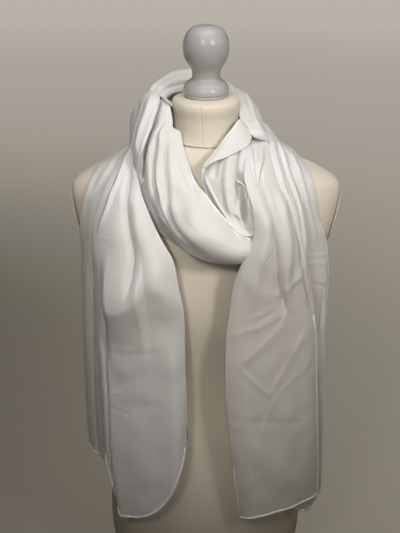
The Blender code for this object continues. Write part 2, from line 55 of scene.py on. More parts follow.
SATIN_WALL = 0.7                # wall of the draped satin
TURN_LENGTH = 0.20              # share of a band's width that turns back at an edge
GRID_ALONG = 2.2                # size of the cloth's faces
GRID_ACROSS = 1.45
GRID_SPARE = 1.15               # a bulging band is up to this much wider than straight across
RIPPLE_HIGH = 0.35              # gentle unevenness of the cloth
RIPPLE_LONG = 34.0

HEM_WIDE = 3.4                  # rolled hem, across and through, fuller than a real one of 2 mm
HEM_THICK = 2.4
HEM_SIDES = 10
HEM_PUCKER = 6.5                # lengths of its two waves along the edge
HEM_SWELL = 17.0
HEM_CLOSES = 4.0                # length over which it closes at each end

BOARD_THICK = 18.0
BOARD_INSET = 4.0
BOARD_ROUND = 2.5               # radius of its rounded edges
FORM_SIDES = 200                # points round the board and round the torso

# The torso from the base up, as in its solid: an oval at each height. It rises towards the back
# by its lean and at the front and the back alike by its saddle. Square 2 is an ellipse, and more
# is boxier.
TORSO_OVALS = (
    # side_z, lean, saddle, half_width, front, back, square
    (BOARD_THICK + SEAM, 0, 0, 146, 96, 104, 2.2),
    (26, 0, 0, 152, 101, 110, 2.2),
    (60, 0, 0, 155, 104, 114, 2.2),
    (100, 0, 0, 156, 104, 116, 2.2),
    (160, 0, 0, 151, 99, 112, 2.2),
    (220, 0, 0, 139, 91, 100, 2.2),
    (280, 0, 0, 123, 83, 86, 2.2),
    (320, 0, 0, 117, 81, 79, 2.2),
    (370, 0, 0, 121, 89, 78, 2.2),
    (420, 0, 0, 134, 105, 84, 2.2),
    (455, 0, 0, 145, 116, 91, 2.2),
    (500, 0, 0, 162, 113, 98, 2.2),
    (530, 0, 0, 180, 107, 101, 2.2),
    (570, 0, 1, 200, 99, 102, 2.15),
    (604, 0, 2, 207, 91, 101, 2.1),
    (632, 0.03, 5, 206, 83, 97, 2.1),
    (650, 0.07, 9, 180, 76, 89, 2.1),
    (664, 0.09, 10, 145, 71, 78, 2.1),
    (681, 0.12, 8, 104, 67, 69, 2.05),
    (695, 0.16, 4, 77, 64, 61, 2),
    (706.2, 0.20, 0, 60.8, 62.2, 54.4, 2),
    (707.6, 0.20, 0, 57.2, 59.2, 51, 2),
)
TORSO_RINGS = 210
# The body is evened out twice, strongly up to the shoulders and lightly up to the neckline.
TORSO_FAIRED = (
    # passes, the height that they reach up to
    (110, 600),
    (36, 696),
)

NECK_LEAN = 0.09
NECK_TOP = 761.5
NECK_OVALS = (
    (708, 0.20, 0, 56.4, 58.4, 50.2, 2),
    (709.4, 0.20, 0, 58.6, 61, 52.6, 2),
    (713, 0.19, 0, 54, 59.5, 50.5, 2),
    (723, 0.16, 0, 49.5, 57, 47.5, 2),
    (738, 0.12, 0, 48, 56, 46, 2),
    (751, NECK_LEAN, 0, 49.6, 57.6, 47.2, 2),
    (757, NECK_LEAN, 0, 48.6, 56.6, 46.2, 2),
    (760.4, NECK_LEAN, 0, 45.2, 53.2, 42.8, 2),
    (NECK_TOP, NECK_LEAN, 0, 39, 47, 37, 2),
)
NECK_RINGS = 64
NECK_SIDES = 260
NECK_SEAM_TOP_X = -8.5          # the neck's front seam leans a little
NECK_SEAM_FOOT_X = -6.0
NECK_SEAM_HIGH = 50.0
NECK_SEAM = (
    # to the right of the seam's line, height, half its width, crisp
    (0.0, -0.9, 1.6, 0.6),      # the groove
    (3.0, 0.35, 2.6, 0.0),      # the welt beside it
)

KNOB_OUTLINE = (
    # radius, height over the neck's top
    (0, 102.6),
    (10, 102),
    (19, 99.2),
    (26, 94),
    (30.6, 86.5),
    (33.2, 77.5),
    (33.6, 70),
    (32.4, 60.5),
    (29.4, 52.5),
    (25.4, 46),
    (22.2, 40.5),
    (20.5, 34.5),
    (20.4, 29.5),
    (22, 25.5),
    (26.6, 22.2),
    (30.8, 18),
    (33, 13.2),
    (33.6, 9.4),
    (33, 6.2),
    (30.8, 4.6),
    (31.6, 3.2),
    (31.4, 1.4),
    (30.2, SEAM),
    (0, SEAM),
)
KNOB_RINGS = 120
KNOB_SIDES = 104

ARM_TOP_X = 202.0
ARM_TOP_Z = 634.0
ARM_SLOPE = 0.25
ARM_FOOT_Z = 470.0              # the opening's face has met the body's side above this height
ARM_EDGE = 6.0                  # how softly the cover turns over the edge of an arm opening
PLATE_Y = 2.0
PLATE_Z = 582.0
PLATE_HALF_HIGH = 46.0
PLATE_HALF_WIDE = 38.0
PLATE_THICK = 1.5
PLATE_SIDES = 120
PLATE_RINGS = (
    # share of the plate's size, share of its thickness
    (1, 0),
    (1, 0.7),
    (0.985, 0.9),
    (0.95, 1),
    (0.8, 1.03),
    (0.55, 1.05),
    (0.3, 1.06),
    (0.05, 1.06),
)

# A band's row: the x, y and z of its left and then its right edge at one place along it, as seen
# from the front, how far it stands out between them, and how many degrees each edge turns back.
#
# A fold: where its run along the band begins and ends, its places across at four even stations
# of that run, its height (a groove is negative), its width on each side, and how crisp it is.
# Places are shares of the band, from 0 to 1.
#
# A crease, a straight soft ridge or groove: the place along and the place across of its two ends,
# its height, its width above and below it, and how crisp it is.
#
# A hem: how far the cloth runs down at even stations across, as a share of the band's length.

LEVEL_HEM = (1.0, 1.0, 1.0)

NAPE_BAND = (
    (-90, -6, 744, -103, -16, 705.2, 3, 0, 0),
    (-98, 12, 752, -112, 4, 694, 5, 20, 0),
    (-95, 44, 758, -112, 46, 688, 8, 40, 10),
    (-76, 76, 768, -84, 82, 682, 10, 50, 20),
    (-44, 98, 777, -40, 98, 676, 12, 50, 20),
    (-5, 102, 779, 8, 101, 674, 12, 50, 20),
    (24, 92, 780, 56, 93, 682, 12, 50, 30),
    (34, 70, 773, 74, 72, 714, 11, 40, 50),
    (37, 46, 761, 76, 48, 734, 10, 40, 70),
    (46, 22, 752, 78, 26, 740, 7, 20, 70),
    (48.5, 4, 744, 81, 6, 734, 7, 10, 60),
    (49, -16, 736, 85, -14, 724, 7, 20, 50),
    (54, -38, 725, 89, -36, 714, 7, 20, 40),
    (65, -56, 715.5, 92, -47, 706, 4, 20, 30),
    (68, -57, 711, 93, -45, 701, 2, 20, 30),
)
NAPE_BAND_FOLDS = (
    (0.03, 0.26, 0.16, 0.13, 0.13, 0.16, -5, 6, 7, 0.4),
    (0.08, 0.62, 0.30, 0.36, 0.36, 0.30, -7, 12, 12, 0.2),
    (0.06, 0.60, 0.66, 0.61, 0.61, 0.66, -7, 12, 12, 0.2),
    (0.62, 0.95, 0.20, 0.22, 0.26, 0.30, -3, 7, 6, 0.5),
    (0.66, 0.99, 0.44, 0.46, 0.50, 0.54, 2.5, 7, 7, 0.2),
    (0.10, 0.52, 0.48, 0.50, 0.47, 0.46, -2, 5, 5, 0.8),
    (0.16, 0.48, 0.20, 0.17, 0.20, 0.24, -1.6, 4, 6, 0.6),
)

NAPE_ROLL = (
    (-49.5, -18, 748, -57, -20, 756, 1, 0, 0),
    (-51, 6, 750, -69, 6, 761, 2, 0, 20),
    (-60, 26, 746, -84, 30, 752, 2, 0, 40),
    (-58, 36, 752, -88, 44, 762.2, 4, 20, 70),
    (-50, 50, 758, -76, 68, 775, 5, 30, 90),
    (-32, 62, 760, -48, 86, 788, 6, 30, 110),
    (-8, 68, 760, -14, 92, 790, 6, 30, 110),
    (12, 66, 757, 12, 81, 780, 4, 30, 90),
    (22, 58, 754, 24, 68, 766, 2, 10, 40),
)
NAPE_ROLL_FOLDS = (
    (0.05, 0.90, 0.36, 0.32, 0.24, 0.20, -4, 5, 6, 0.6),
    (0.05, 0.60, 0.16, 0.12, 0.08, 0.04, 1.6, 3, 3, 0.4),
    (0.10, 0.90, 0.62, 0.66, 0.64, 0.60, -1.2, 5, 5, 0.3),
)

NECK_FOLD_LEFT = (
    (-88, 14, 758, -76, 12, 760, 1, 0, 0),
    (-88, 4, 765, -70, 2, 768, 2, 0, 0),
    (-94, -8, 760, -67, -14, 763, 5, 10, 20),
    (-100, -20, 741, -69, -34, 752, 7, 20, 30),
    (-105, -32, 718, -75, -50, 739, 8, 30, 40),
    (-108, -44, 699, -81, -66, 724, 8, 30, 50),
    (-106, -55, 686, -87, -78, 710, 6, 30, 50),
    (-102, -71, 675, -92, -87, 694, 3, 20, 30),
    (-97, -93, 669, -94, -95, 670, 0, 0, 0),
)
NECK_FOLD_LEFT_FOLDS = (
    (0.14, 0.86, 0.62, 0.66, 0.66, 0.66, 2.5, 8, 7, 0.2),
    (0.20, 0.90, 0.34, 0.38, 0.42, 0.50, -1.4, 5, 5, 0.4),
    (0.10, 0.95, 0.88, 0.92, 0.93, 0.95, 1.0, 3, 3, 0.5),
)

FRONT_LOOP = (
    (-88, 18, 728, -70, 18, 746, 1, 0, 0),
    (-90, 2, 733, -62, 1, 760, 2, 0, 10),
    (-92, -16, 724, -55, -16, 754, 3, 10, 20),
    (-96, -34, 706, -49.5, -34, 735, 5, 10, 30),
    (-99, -52, 690, -47.5, -46, 724, 6, 10, 20),
    (-102, -66, 672, -38, -54, 720, 7, 10, 20),
    (-102, -81, 648, -32, -65, 699, 9, 10, 20),
    (-96, -95, 622, -23, -82, 673, 13, 20, 20),
    (-81, -104, 592, -16, -98, 656, 16, 50, 30),
    (-58, -113, 569, -6, -118, 646, 21, 80, 40),
    (-24, -128, 557, 8, -132, 631, 31, 130, 40),
    (12, -134, 552, 26, -138, 610, 27, 150, 40),
    (44, -138, 552, 46, -138, 588, 16.8, 130, 30),
    (72, -134, 561, 74, -132, 590, 4, 60, 20),
)
FRONT_LOOP_FOLDS = (
    (0.18, 0.66, 0.80, 0.44, 0.32, 0.37, -5, 13, 7, 0.2),
    (0.19, 0.64, 0.80, 0.44, 0.32, 0.37, -8, 5, 4, 0.9),
    (0.20, 0.62, 0.80, 0.55, 0.42, 0.42, 3.5, 5, 5, 0.3),
    (0.28, 0.76, 0.73, 0.60, 0.47, 0.33, -4, 6, 10, 0.2),
    (0.30, 0.74, 0.72, 0.60, 0.46, 0.34, -7, 4, 5, 0.9),
    (0.28, 0.76, 0.02, 0.04, 0.05, 0.04, -9, 10, 32, 0.0),
    (0.24, 0.66, 0.38, 0.36, 0.30, 0.34, 4.0, 14, 5, 0.2),
    (0.17, 0.40, 0.44, 0.27, 0.17, 0.06, -7, 4, 10, 0.4),
    (0.50, 0.76, 0.80, 0.78, 0.76, 0.72, 2.5, 16, 14, 0.0),
    (0.30, 0.70, 0.90, 0.88, 0.90, 0.88, -1.6, 7, 5, 0.3),
    (0.56, 0.80, 0.58, 0.56, 0.50, 0.42, 2.0, 8, 10, 0.2),
    (0.50, 1.00, 0.42, 0.58, 0.74, 0.86, 6, 46, 26, 0.0),
    (0.46, 0.82, 0.24, 0.25, 0.28, 0.28, -6, 20, 24, 0.0),
)

INNER_FOLD = (
    (56, -12, 714, 63, -10, 705, 0, 0, 0),
    (43, -45, 720, 60, -38, 708, 2, 0, 0),
    (24, -68, 702, 64, -76, 700, 2, 0, 0),
    (-4, -91, 678, 66, -110, 682, 2, 30, 0),
    (-8, -100, 664, 68, -126, 660, 2, 60, 0),
    (-3, -108, 644, 70, -134, 632, 2, 40, 0),
    (12, -120, 620, 72, -138, 604, 2, 20, 0),
    (33, -141, 597, 72, -140, 592, 2, 0, 0),
)
INNER_FOLD_HEM = (0.99, 1.02, 1.05, 1.065, 1.05, 1.0)
INNER_FOLD_FOLDS = (
    (0.24, 0.86, 0.58, 0.62, 0.65, 0.56, -5, 7, 6, 0.4),
    (0.36, 0.82, 0.60, 0.64, 0.64, 0.57, -5, 4, 4, 0.9),
    (0.40, 0.90, 0.50, 0.50, 0.47, 0.38, 4, 9, 6, 0.1),
    (0.54, 0.94, 0.68, 0.74, 0.75, 0.71, -9, 11, 12, 0.0),
    (0.60, 0.94, 0.71, 0.76, 0.77, 0.73, -12, 13, 14, 0.0),
    (0.86, 0.99, 0.50, 0.54, 0.60, 0.66, -6, 8, 8, 0.2),
    (0.58, 0.96, 0.10, 0.17, 0.21, 0.20, 2.8, 4, 4, 0.6),
    (0.36, 0.64, 0.20, 0.24, 0.28, 0.26, -3, 8, 8, 0.2),
)

TURNED_FLAP = (
    (51, -16, 728, 64, -18, 721, 0, 0, 0),
    (47, -46, 735, 66, -48, 715, 1, 0, 0),
    (35, -63, 723, 60, -74, 704, 2, 30, 10),
    (22, -77, 709, 46, -85, 697.5, 3, 50, 10),
    (9, -90, 695, 26, -99, 691, 3, 50, 10),
    (0, -98, 685, 7, -104, 684, 2, 30, 0),
    (-6, -102, 678, -2, -105, 677, 0, 0, 0),
)

TAIL_LEFT_FRONT = (
    (-100, 24, 700, -80, 16, 720, 2, 0, 0),
    (-113, -12, 690, -97, -32, 703, 2, 10, 0),
    (-121, -38, 680, -104, -62, 677, 2, 10, 0),
    (-130, -60, 668, -97.5, -82, 662, 3, 10, 10),
    (-138, -76, 654, -92.5, -98, 645, 4, 10, 20),
    (-146, -88, 638, -87, -110, 629, 5, 12, 20),
    (-152, -95, 619, -78, -121, 608, 6, 15, 30),
    (-159, -100, 598, -65, -131, 583, 8, 16, 30),
    (-163, -105, 570, -49, -138, 554, 10, 24, 30),
    (-165, -109, 520, -42, -142, 509, 13, 46, 40),
    (-166, -106, 452, -36, -138, 450, 6, 50, 50),
    (-164, -106, 380, -33, -137, 370, 5, 50, 60),
    (-160, -106, 310, -32, -136, 310, 5, 50, 70),
    (-157, -107, 232, -34, -136, 230, 5, 50, 80),
    (-146, -110, 141, -38, -136, 146, 5, 50, 90),
)
TAIL_LEFT_FRONT_FOLDS = (
    (0.12, 0.46, 0.88, 0.615, 0.56, 0.445, -4, 12, 13, 0.2),
    (0.12, 0.46, 0.88, 0.615, 0.56, 0.445, -6, 5, 5, 0.9),
    (0.20, 0.58, 0.34, 0.36, 0.37, 0.37, 3, 32, 26, 0.0),
    (0.20, 0.46, 0.76, 0.74, 0.74, 0.76, 5, 28, 26, 0.0),
    (0.42, 1.00, 0.215, 0.155, 0.115, 0.095, -2.5, 8, 5, 0.3),
    (0.44, 1.00, 0.210, 0.155, 0.115, 0.095, -4.5, 3, 2.5, 0.9),
    (0.08, 0.34, 0.55, 0.34, 0.20, 0.06, 3.5, 5, 7, 0.6),
)
TAIL_LEFT_FRONT_CREASES = (
    (0.336, 0.01, 0.329, 0.27, 0.4, 4, 4, 0.5),
    (0.589, 0.21, 0.562, 0.79, 0.5, 4, 4, 0.5),
    (0.600, 0.30, 0.578, 0.72, -0.6, 6, 6, 0.4),
    (0.649, 0.44, 0.632, 0.53, 1.2, 4, 3, 0.6),
    (0.640, 0.38, 0.575, 0.86, 1.1, 22, 16, 0.0),
    (0.628, 0.40, 0.616, 0.52, 0.8, 4, 3, 0.6),
    (0.591, 0.22, 0.586, 0.35, -0.9, 5, 5, 0.4),
    (0.724, 0.30, 0.715, 0.64, -0.7, 14, 14, 0.0),
    (0.706, 0.11, 0.690, 0.32, 0.9, 4, 3, 0.6),
    (0.735, 0.18, 0.742, 0.36, -0.9, 5, 5, 0.4),
    (0.540, 0.66, 0.600, 0.84, 2.0, 36, 34, 0.0),
    (0.780, 0.44, 0.900, 0.52, 1.6, 34, 34, 0.0),
    (0.840, 0.70, 0.930, 0.60, -0.8, 14, 14, 0.0),
)
TAIL_LEFT_FRONT_HEM = (
    0.86, 0.94, 1.010, 1.015, 1.015, 1.014, 1.013, 1.01, 1.006,
    1.0, 0.992, 0.98, 0.962, 0.94, 0.91, 0.87, 0.82,
)

TAIL_LEFT_BACK = (
    (-58, 90, 704, -34, 86, 714, 2, 0, 0),
    (-92, 62, 693, -64, 64, 703, 2, 0, 0),
    (-116, 34, 684, -88, 36, 696, 2, 0, 0),
    (-131, 20, 679, -98, 10, 686, 2, 0, 0),
    (-146, 2, 671, -106, -18, 684, 2, 0, 0),
    (-156, -24, 662, -110, -46, 671, 2, 0, 0),
    (-166, -44, 649, -106, -74, 649, 3, 0, 0),
    (-174, -55, 629, -98, -86, 620, 4, 5, 0),
    (-180, -58, 608, -92, -94, 594, 5, 10, 0),
    (-185, -58, 583, -86, -104, 560, 6, 10, 0),
    (-188, -57, 546, -74, -113, 520, 5, 30, 0),
    (-190, -60, 500, -62, -120, 470, 2, 50, 0),
    (-191, -64, 404, -46, -119, 410, 2, 50, 0),
    (-190, -64, 338, -38, -115, 340, 2, 50, 0),
    (-189, -64, 279, -27, -108, 285, 2, 50, 0),
    (-184, -66, 190, -23, -106, 190, 2, 50, 0),
)
TAIL_LEFT_BACK_FOLDS = (
    (0.44, 1.00, 0.24, 0.17, 0.13, 0.12, -3, 14, 12, 0.2),
    (0.46, 1.00, 0.23, 0.16, 0.12, 0.12, -4, 3, 3, 0.9),
    (0.22, 0.46, 0.45, 0.24, 0.17, 0.16, 1.2, 10, 10, 0.1),
    (0.10, 0.40, 0.62, 0.56, 0.50, 0.46, -1.4, 10, 10, 0.1),
)
TAIL_LEFT_BACK_CREASES = (
    (0.60, 0.02, 0.62, 0.07, 0.7, 4, 4, 0.4),
    (0.88, 0.02, 0.90, 0.07, -0.9, 4, 4, 0.4),
)
TAIL_LEFT_BACK_HEM = (0.945, 0.995, 0.99, 0.945, 0.90)

TAIL_RIGHT_FRONT = (
    (44, 66, 718, 78, 60, 702, 2, 0, 0),
    (52, 34, 724, 90, 32, 708, 5, 0, 0),
    (58, 6, 724, 98, 7, 711, 7, 0, 10),
    (62, -20, 718, 106, -14, 701, 7, 0, 10),
    (62, -52, 707, 112, -38, 689, 6, 10, 20),
    (58, -84, 696, 118, -58, 673, 5, 10, 30),
    (54, -110, 686, 124, -72, 656, 5, 10, 40),
    (54, -130, 668, 131, -83, 638, 6, 20, 50),
    (66, -150, 640, 137, -92, 619, 8, 50, 50),
    (72, -159, 612, 142, -99, 593, 9, 70, 50),
    (71, -162, 590, 147, -105, 563, 10, 70, 50),
    (62, -163, 568, 152, -109, 528, 10, 70, 40),
    (46, -160, 532, 157, -110, 493, 9, 60, 40),
    (36, -156, 480, 163, -110, 446, 7, 50, 40),
    (30, -151, 400, 168, -108, 357, 6, 40, 40),
    (33, -148, 322, 172, -106, 286, 6, 40, 40),
    (44, -147, 225, 176, -104, 205, 6, 50, 40),
    (56, -146, 142, 176, -101, 160, 6, 60, 30),
)
TAIL_RIGHT_FRONT_FOLDS = (
    (0.22, 0.56, 0.38, 0.25, 0.43, 0.60, -4, 12, 10, 0.2),
    (0.22, 0.55, 0.38, 0.25, 0.43, 0.60, -7, 4, 4, 0.9),
    (0.26, 0.58, 0.64, 0.70, 0.86, 0.99, -4, 9, 8, 0.2),
    (0.26, 0.56, 0.64, 0.70, 0.86, 0.99, -7, 4, 4, 0.9),
    (0.12, 0.40, 0.50, 0.63, 0.66, 0.78, 4.0, 4, 4, 0.7),
    (0.12, 0.40, 0.44, 0.56, 0.60, 0.72, -3.5, 5, 4, 0.6),
    (0.12, 0.42, 0.93, 0.89, 0.88, 0.87, 3.6, 4, 4, 0.7),
    (0.12, 0.42, 0.86, 0.83, 0.82, 0.81, -2.6, 4, 4, 0.6),
    (0.28, 0.54, 0.46, 0.48, 0.54, 0.64, 4, 11, 13, 0.1),
    (0.32, 0.52, 0.93, 0.94, 0.95, 0.97, -3, 4, 3, 0.7),
    (0.30, 0.56, 0.14, 0.16, 0.20, 0.24, 3, 14, 14, 0.0),
    (0.12, 0.30, 0.16, 0.18, 0.18, 0.16, -2.5, 9, 9, 0.2),
    (0.16, 0.38, 0.30, 0.27, 0.26, 0.24, 3.0, 8, 9, 0.2),
    (0.70, 1.00, 0.62, 0.60, 0.56, 0.58, 2.0, 22, 22, 0.0),
)
TAIL_RIGHT_FRONT_CREASES = (
    (0.439, 0.23, 0.378, 0.36, -0.9, 3, 4, 0.5),
    (0.500, 0.46, 0.430, 0.84, 1.2, 9, 7, 0.3),
    (0.523, 0.61, 0.571, 0.52, 1.5, 12, 5, 0.5),
    (0.571, 0.52, 0.673, 0.12, 1.3, 13, 6, 0.5),
    (0.673, 0.12, 0.722, 0.44, 1.2, 5, 13, 0.5),
    (0.579, 0.79, 0.658, 0.59, 1.3, 12, 5, 0.5),
    (0.658, 0.59, 0.722, 0.44, 1.4, 12, 5, 0.5),
    (0.634, 0.89, 0.715, 0.53, 0.9, 9, 5, 0.5),
    (0.715, 0.53, 0.794, 0.37, 0.9, 8, 4, 0.5),
    (0.794, 0.37, 0.964, 0.27, 0.7, 5, 5, 0.6),
    (0.602, 0.12, 0.546, 0.51, 1.1, 11, 6, 0.4),
    (0.602, 0.14, 0.505, 0.56, -0.7, 6, 8, 0.4),
    (0.560, 0.20, 0.530, 0.46, 0.7, 8, 5, 0.4),
    (0.794, 0.08, 0.778, 0.80, -0.9, 5, 12, 0.4),
    (0.800, 0.46, 0.960, 0.48, -0.7, 5, 5, 0.6),
    (0.480, 0.10, 0.500, 0.30, 1.4, 26, 20, 0.0),
    (0.860, 0.30, 0.930, 0.60, 2.0, 30, 30, 0.0),
    (0.640, 0.70, 0.760, 0.78, -1.4, 18, 18, 0.0),
)

TAIL_RIGHT_BACK = (
    (36, 76, 704, 60, 74, 696, 2, 0, 0),
    (64, 56, 699, 94, 52, 688, 2, 0, 0),
    (86, 36, 698, 120, 30, 684, 3, 0, 0),
    (94, 12, 694, 132, 8, 678, 3, 0, 0),
    (101, -10, 689, 139, -10, 673, 3, 0, 0),
    (106, -36, 678, 146, -30, 665, 3, 0, 0),
    (112, -61, 659, 153, -52, 650, 2, 0, 5),
    (117, -75, 631, 160, -61.5, 623, 2, 0, 20),
    (120, -85, 600, 169, -61.4, 584, 2, 0, 30),
    (122, -92, 560, 179, -57, 556, 2, 0, 30),
    (124, -94, 515, 184, -58, 516, 2, 0, 50),
    (126, -96, 466, 184, -62, 462, 2, 0, 60),
    (128, -94, 400, 182, -66, 400, 2, 0, 60),
    (128, -94, 335, 182, -68, 330, 2, 0, 60),
    (130, -94, 250, 184, -72, 250, 2, 0, 60),
    (134, -96, 126, 181, -84, 126, 2, 0, 50),
)
TAIL_RIGHT_BACK_FOLDS = (
    (0.46, 1.00, 0.80, 0.76, 0.75, 0.76, -4, 9, 8, 0.3),
    (0.15, 0.40, 0.55, 0.54, 0.62, 0.64, 3, 7, 8, 0.3),
    (0.12, 0.36, 0.20, 0.24, 0.28, 0.30, -3, 8, 7, 0.3),
    (0.50, 0.84, 0.65, 0.74, 0.83, 0.84, 1.4, 3, 3, 0.6),
    (0.84, 1.00, 0.87, 0.87, 0.88, 0.88, -1.6, 3, 3, 0.7),
)
TAIL_RIGHT_BACK_CREASES = (
    (0.410, 0.36, 0.416, 0.94, 0.8, 4, 5, 0.5),
    (0.426, 0.36, 0.434, 0.94, 0.7, 4, 5, 0.5),
    (0.30, 0.62, 0.33, 0.92, -1.2, 6, 6, 0.3),
    (0.47, 0.50, 0.49, 0.94, -1.0, 6, 6, 0.3),
)
TAIL_RIGHT_BACK_HEM = (0.985, 0.995, 1.0, 0.985, 0.95)

STOLE = (
    # node, rows, folds, creases, hem, the width and the length of the cut that shows
    ("nape_band", NAPE_BAND, NAPE_BAND_FOLDS, (), LEVEL_HEM, 90, 400),
    ("nape_roll", NAPE_ROLL, NAPE_ROLL_FOLDS, (), LEVEL_HEM, 42, 140),
    ("neck_fold_left", NECK_FOLD_LEFT, NECK_FOLD_LEFT_FOLDS, (), LEVEL_HEM, 38, 155),
    ("front_loop", FRONT_LOOP, FRONT_LOOP_FOLDS, (), LEVEL_HEM, 90, 335),
    ("inner_fold", INNER_FOLD, INNER_FOLD_FOLDS, (), INNER_FOLD_HEM, 60, 190),
    ("turned_flap", TURNED_FLAP, (), (), LEVEL_HEM, 22, 130),
    ("tail_left_front", TAIL_LEFT_FRONT, TAIL_LEFT_FRONT_FOLDS, TAIL_LEFT_FRONT_CREASES,
     TAIL_LEFT_FRONT_HEM, 125, 630),
    ("tail_left_back", TAIL_LEFT_BACK, TAIL_LEFT_BACK_FOLDS, TAIL_LEFT_BACK_CREASES,
     TAIL_LEFT_BACK_HEM, 120, 630),
    ("tail_right_front", TAIL_RIGHT_FRONT, TAIL_RIGHT_FRONT_FOLDS, TAIL_RIGHT_FRONT_CREASES,
     LEVEL_HEM, 125, 705),
    ("tail_right_back", TAIL_RIGHT_BACK, TAIL_RIGHT_BACK_FOLDS, TAIL_RIGHT_BACK_CREASES,
     TAIL_RIGHT_BACK_HEM, 55, 700),
)

# Folds that run across a band: as the others, with the run across and the places along.
DROPS = {
    "tail_left_front": (
        (0.15, 0.66, 0.460, 0.477, 0.461, 0.424, 14, 84, 130, 0.35),
        (0.20, 0.66, 0.468, 0.479, 0.459, 0.424, 5, 40, 60, 0.4),
        (0.55, 1.00, 0.458, 0.422, 0.428, 0.474, 6, 64, 80, 0.1),
    ),
}

# Which edges show a rolled hem, where along the edge it begins and ends, and how full it is.
HEMS = {
    "tail_left_front": (("foot", 0.0, 1.0, 1.3), ("right", 0.42, 1.0, 0.6)),
    "tail_left_back": (("foot", 0.0, 1.0, 1.1), ("right", 0.60, 1.0, 0.9)),
    "tail_right_front": (
        ("foot", 0.0, 1.0, 1.3),
        ("left", 0.94, 1.0, 0.8),
        ("right", 0.75, 1.0, 1.0),
    ),
    "tail_right_back": (("foot", 0.0, 1.0, 1.1), ("right", 0.55, 1.0, 1.0)),
    "front_loop": (("right", 0.57, 0.93, 1.0),),
    "inner_fold": (("foot", 0.0, 1.0, 1.0), ("left", 0.45, 1.0, 1.0)),
    "turned_flap": (("left", 0.15, 1.0, 0.9),),
}

# The crossing layer's hem where it turns back round the pocket beside the right tail.
HEM_STRANDS = (
    (
        (41, -114, 662),
        (50, -126, 658),
        (57, -136, 648),
        (59, -143, 633),
        (65, -147, 618),
        (68, -148, 603),
        (65, -148, 594),
        (56, -148, 592),
        (43, -145, 597),
        (31, -139, 609),
    ),
    (
        (68, -149, 606),
        (69, -150, 592),
        (65, -150, 582),
        (58, -149, 579),
        (49, -148, 586),
        (36, -144, 598),
        (27, -138, 609),
    ),
)

# These hang as a single layer in front of the cream form. Their colour is painted with shade and
# with the
# cream form showing through: it turns darker and warmer, more and more from the height where their
# pleats begin to open to the height where they lie flat.
PAINTED_SHADE_STRETCHES = ("tail_left_back", "tail_right_front", "tail_right_back")
SHADE_BEGINS_Z = 660.0
SHADE_FULL_Z = 500.0

# Places and sizes of the lights, the floor and the camera are in metres.
LIGHTS = (
    # name, place, what it faces, size, power, colour, spread in degrees, seen as a gleam
    ("overhead", (0.0, -0.25, 1.7), (0.0, 0.0, 0.6), 0.9, 4.9, "#FFFFFF", 180, True),
    ("high_front", (-0.05, -0.6, 1.7), (0.0, 0.0, 0.5), 0.5, 1.2, "#FFFFFF", 180, True),
    ("front_left", (-0.5, -1.7, 1.5), (0.0, -0.1, 0.66), 0.3, 0.45, "#FFFCF8", 34, True),
    ("front_right", (0.9, -1.4, 1.4), (0.0, -0.1, 0.66), 0.3, 0.48, "#FFFCF8", 34, True),
    ("low_front", (0.0, -1.8, 0.7), (0.0, -0.1, 0.35), 0.3, 0.05, "#FFFCF8", 30, True),
    ("side_right", (1.2, -0.3, 1.3), (0.0, 0.0, 0.6), 0.4, 0.15, "#FFFFFF", 60, True),
    ("behind", (0.2, 1.9, 0.75), (0.0, 0.1, 0.46), 0.3, 0.6, "#FFFCF8", 28, False),
)
ROOM_COLOUR = "#E2C9A0"
ROOM_LIGHT = 0.03

FLOOR_HALF = 60.0
# The floor's painted glow, standing in for the room's light on it, is darkest left of the form and
# grows outwards from there.
FLOOR_DARK_X = -1.9
FLOOR_BRIGHT = 12.0
FLOOR_CURVE = 0.42
FLOOR_GLOW = (
    # distance over FLOOR_BRIGHT, to the power FLOOR_CURVE, and the painted glow's colour there
    (0.0, "#2A2723"),
    (0.30, "#2C2923"),
    (0.41, "#514C44"),
    (0.46, "#645F55"),
    (0.51, "#7D786E"),
    (0.56, "#918B81"),
    (0.62, "#9F988E"),
    (0.70, "#A69F96"),
    (0.82, "#ABA49B"),
    (1.0, "#B8B1A8"),
)

CAMERA_PLACE = (-0.0088, -1.464, 0.9756)
CAMERA_TILT = 72                # degrees up from straight down
LENS_MM = 67.5
SENSOR_MM = 36.0


def far_along(points):
    """How far along its line each point lies, from 0 at the first, step by step."""
    steps = np.linalg.norm(np.diff(points, axis=0), axis=1)
    return np.concatenate([[0.0], np.cumsum(steps)])


def middles_of(rows):
    """The middle between a band's two edges at each row."""
    return (rows[:, 0:3] + rows[:, 3:6]) / 2


def smooth(rows, places, wanted, monotone=False):
    """Each column of the rows, read along a smooth curve at the wanted places.

    Between two rows the curve is the cubic that has their values and their slopes. The slope
    at a row is that of the parabola through it and its neighbours. A monotone curve takes a
    gentler slope instead, so that it never overshoots a row.
    """
    gaps = np.diff(places)[:, None]
    slopes = np.diff(rows, axis=0) / gaps
    tangents = np.empty_like(rows)
    tangents[0] = slopes[0]
    tangents[-1] = slopes[-1]
    before = slopes[:-1]
    after = slopes[1:]
    if monotone:
        same_way = before * after > 0
        joint = 2 * before * after / np.where(same_way, before + after, 1)
        tangents[1:-1] = np.where(same_way, joint, 0)
    else:
        tangents[1:-1] = (before * gaps[1:] + after * gaps[:-1]) / (gaps[1:] + gaps[:-1])
    index = np.clip(np.searchsorted(places, wanted, side="right") - 1, 0, len(gaps) - 1)
    gap = gaps[index]
    t = (wanted[:, None] - places[index][:, None]) / gap
    start = (2 * t**3 - 3 * t**2 + 1) * rows[index] + (t**3 - 2 * t**2 + t) * gap * tangents[index]
    end = (3 * t**2 - 2 * t**3) * rows[index + 1] + (t**3 - t**2) * gap * tangents[index + 1]
    return start + end


def unit(vectors):
    """The same directions, each of length 1."""
    lengths = np.linalg.norm(vectors, axis=-1, keepdims=True)
    return vectors / np.maximum(lengths, 1e-9)


def ease(x):
    """From 0 to 1, level at both ends."""
    x = np.clip(x, 0.0, 1.0)
    return x * x * (3 - 2 * x)


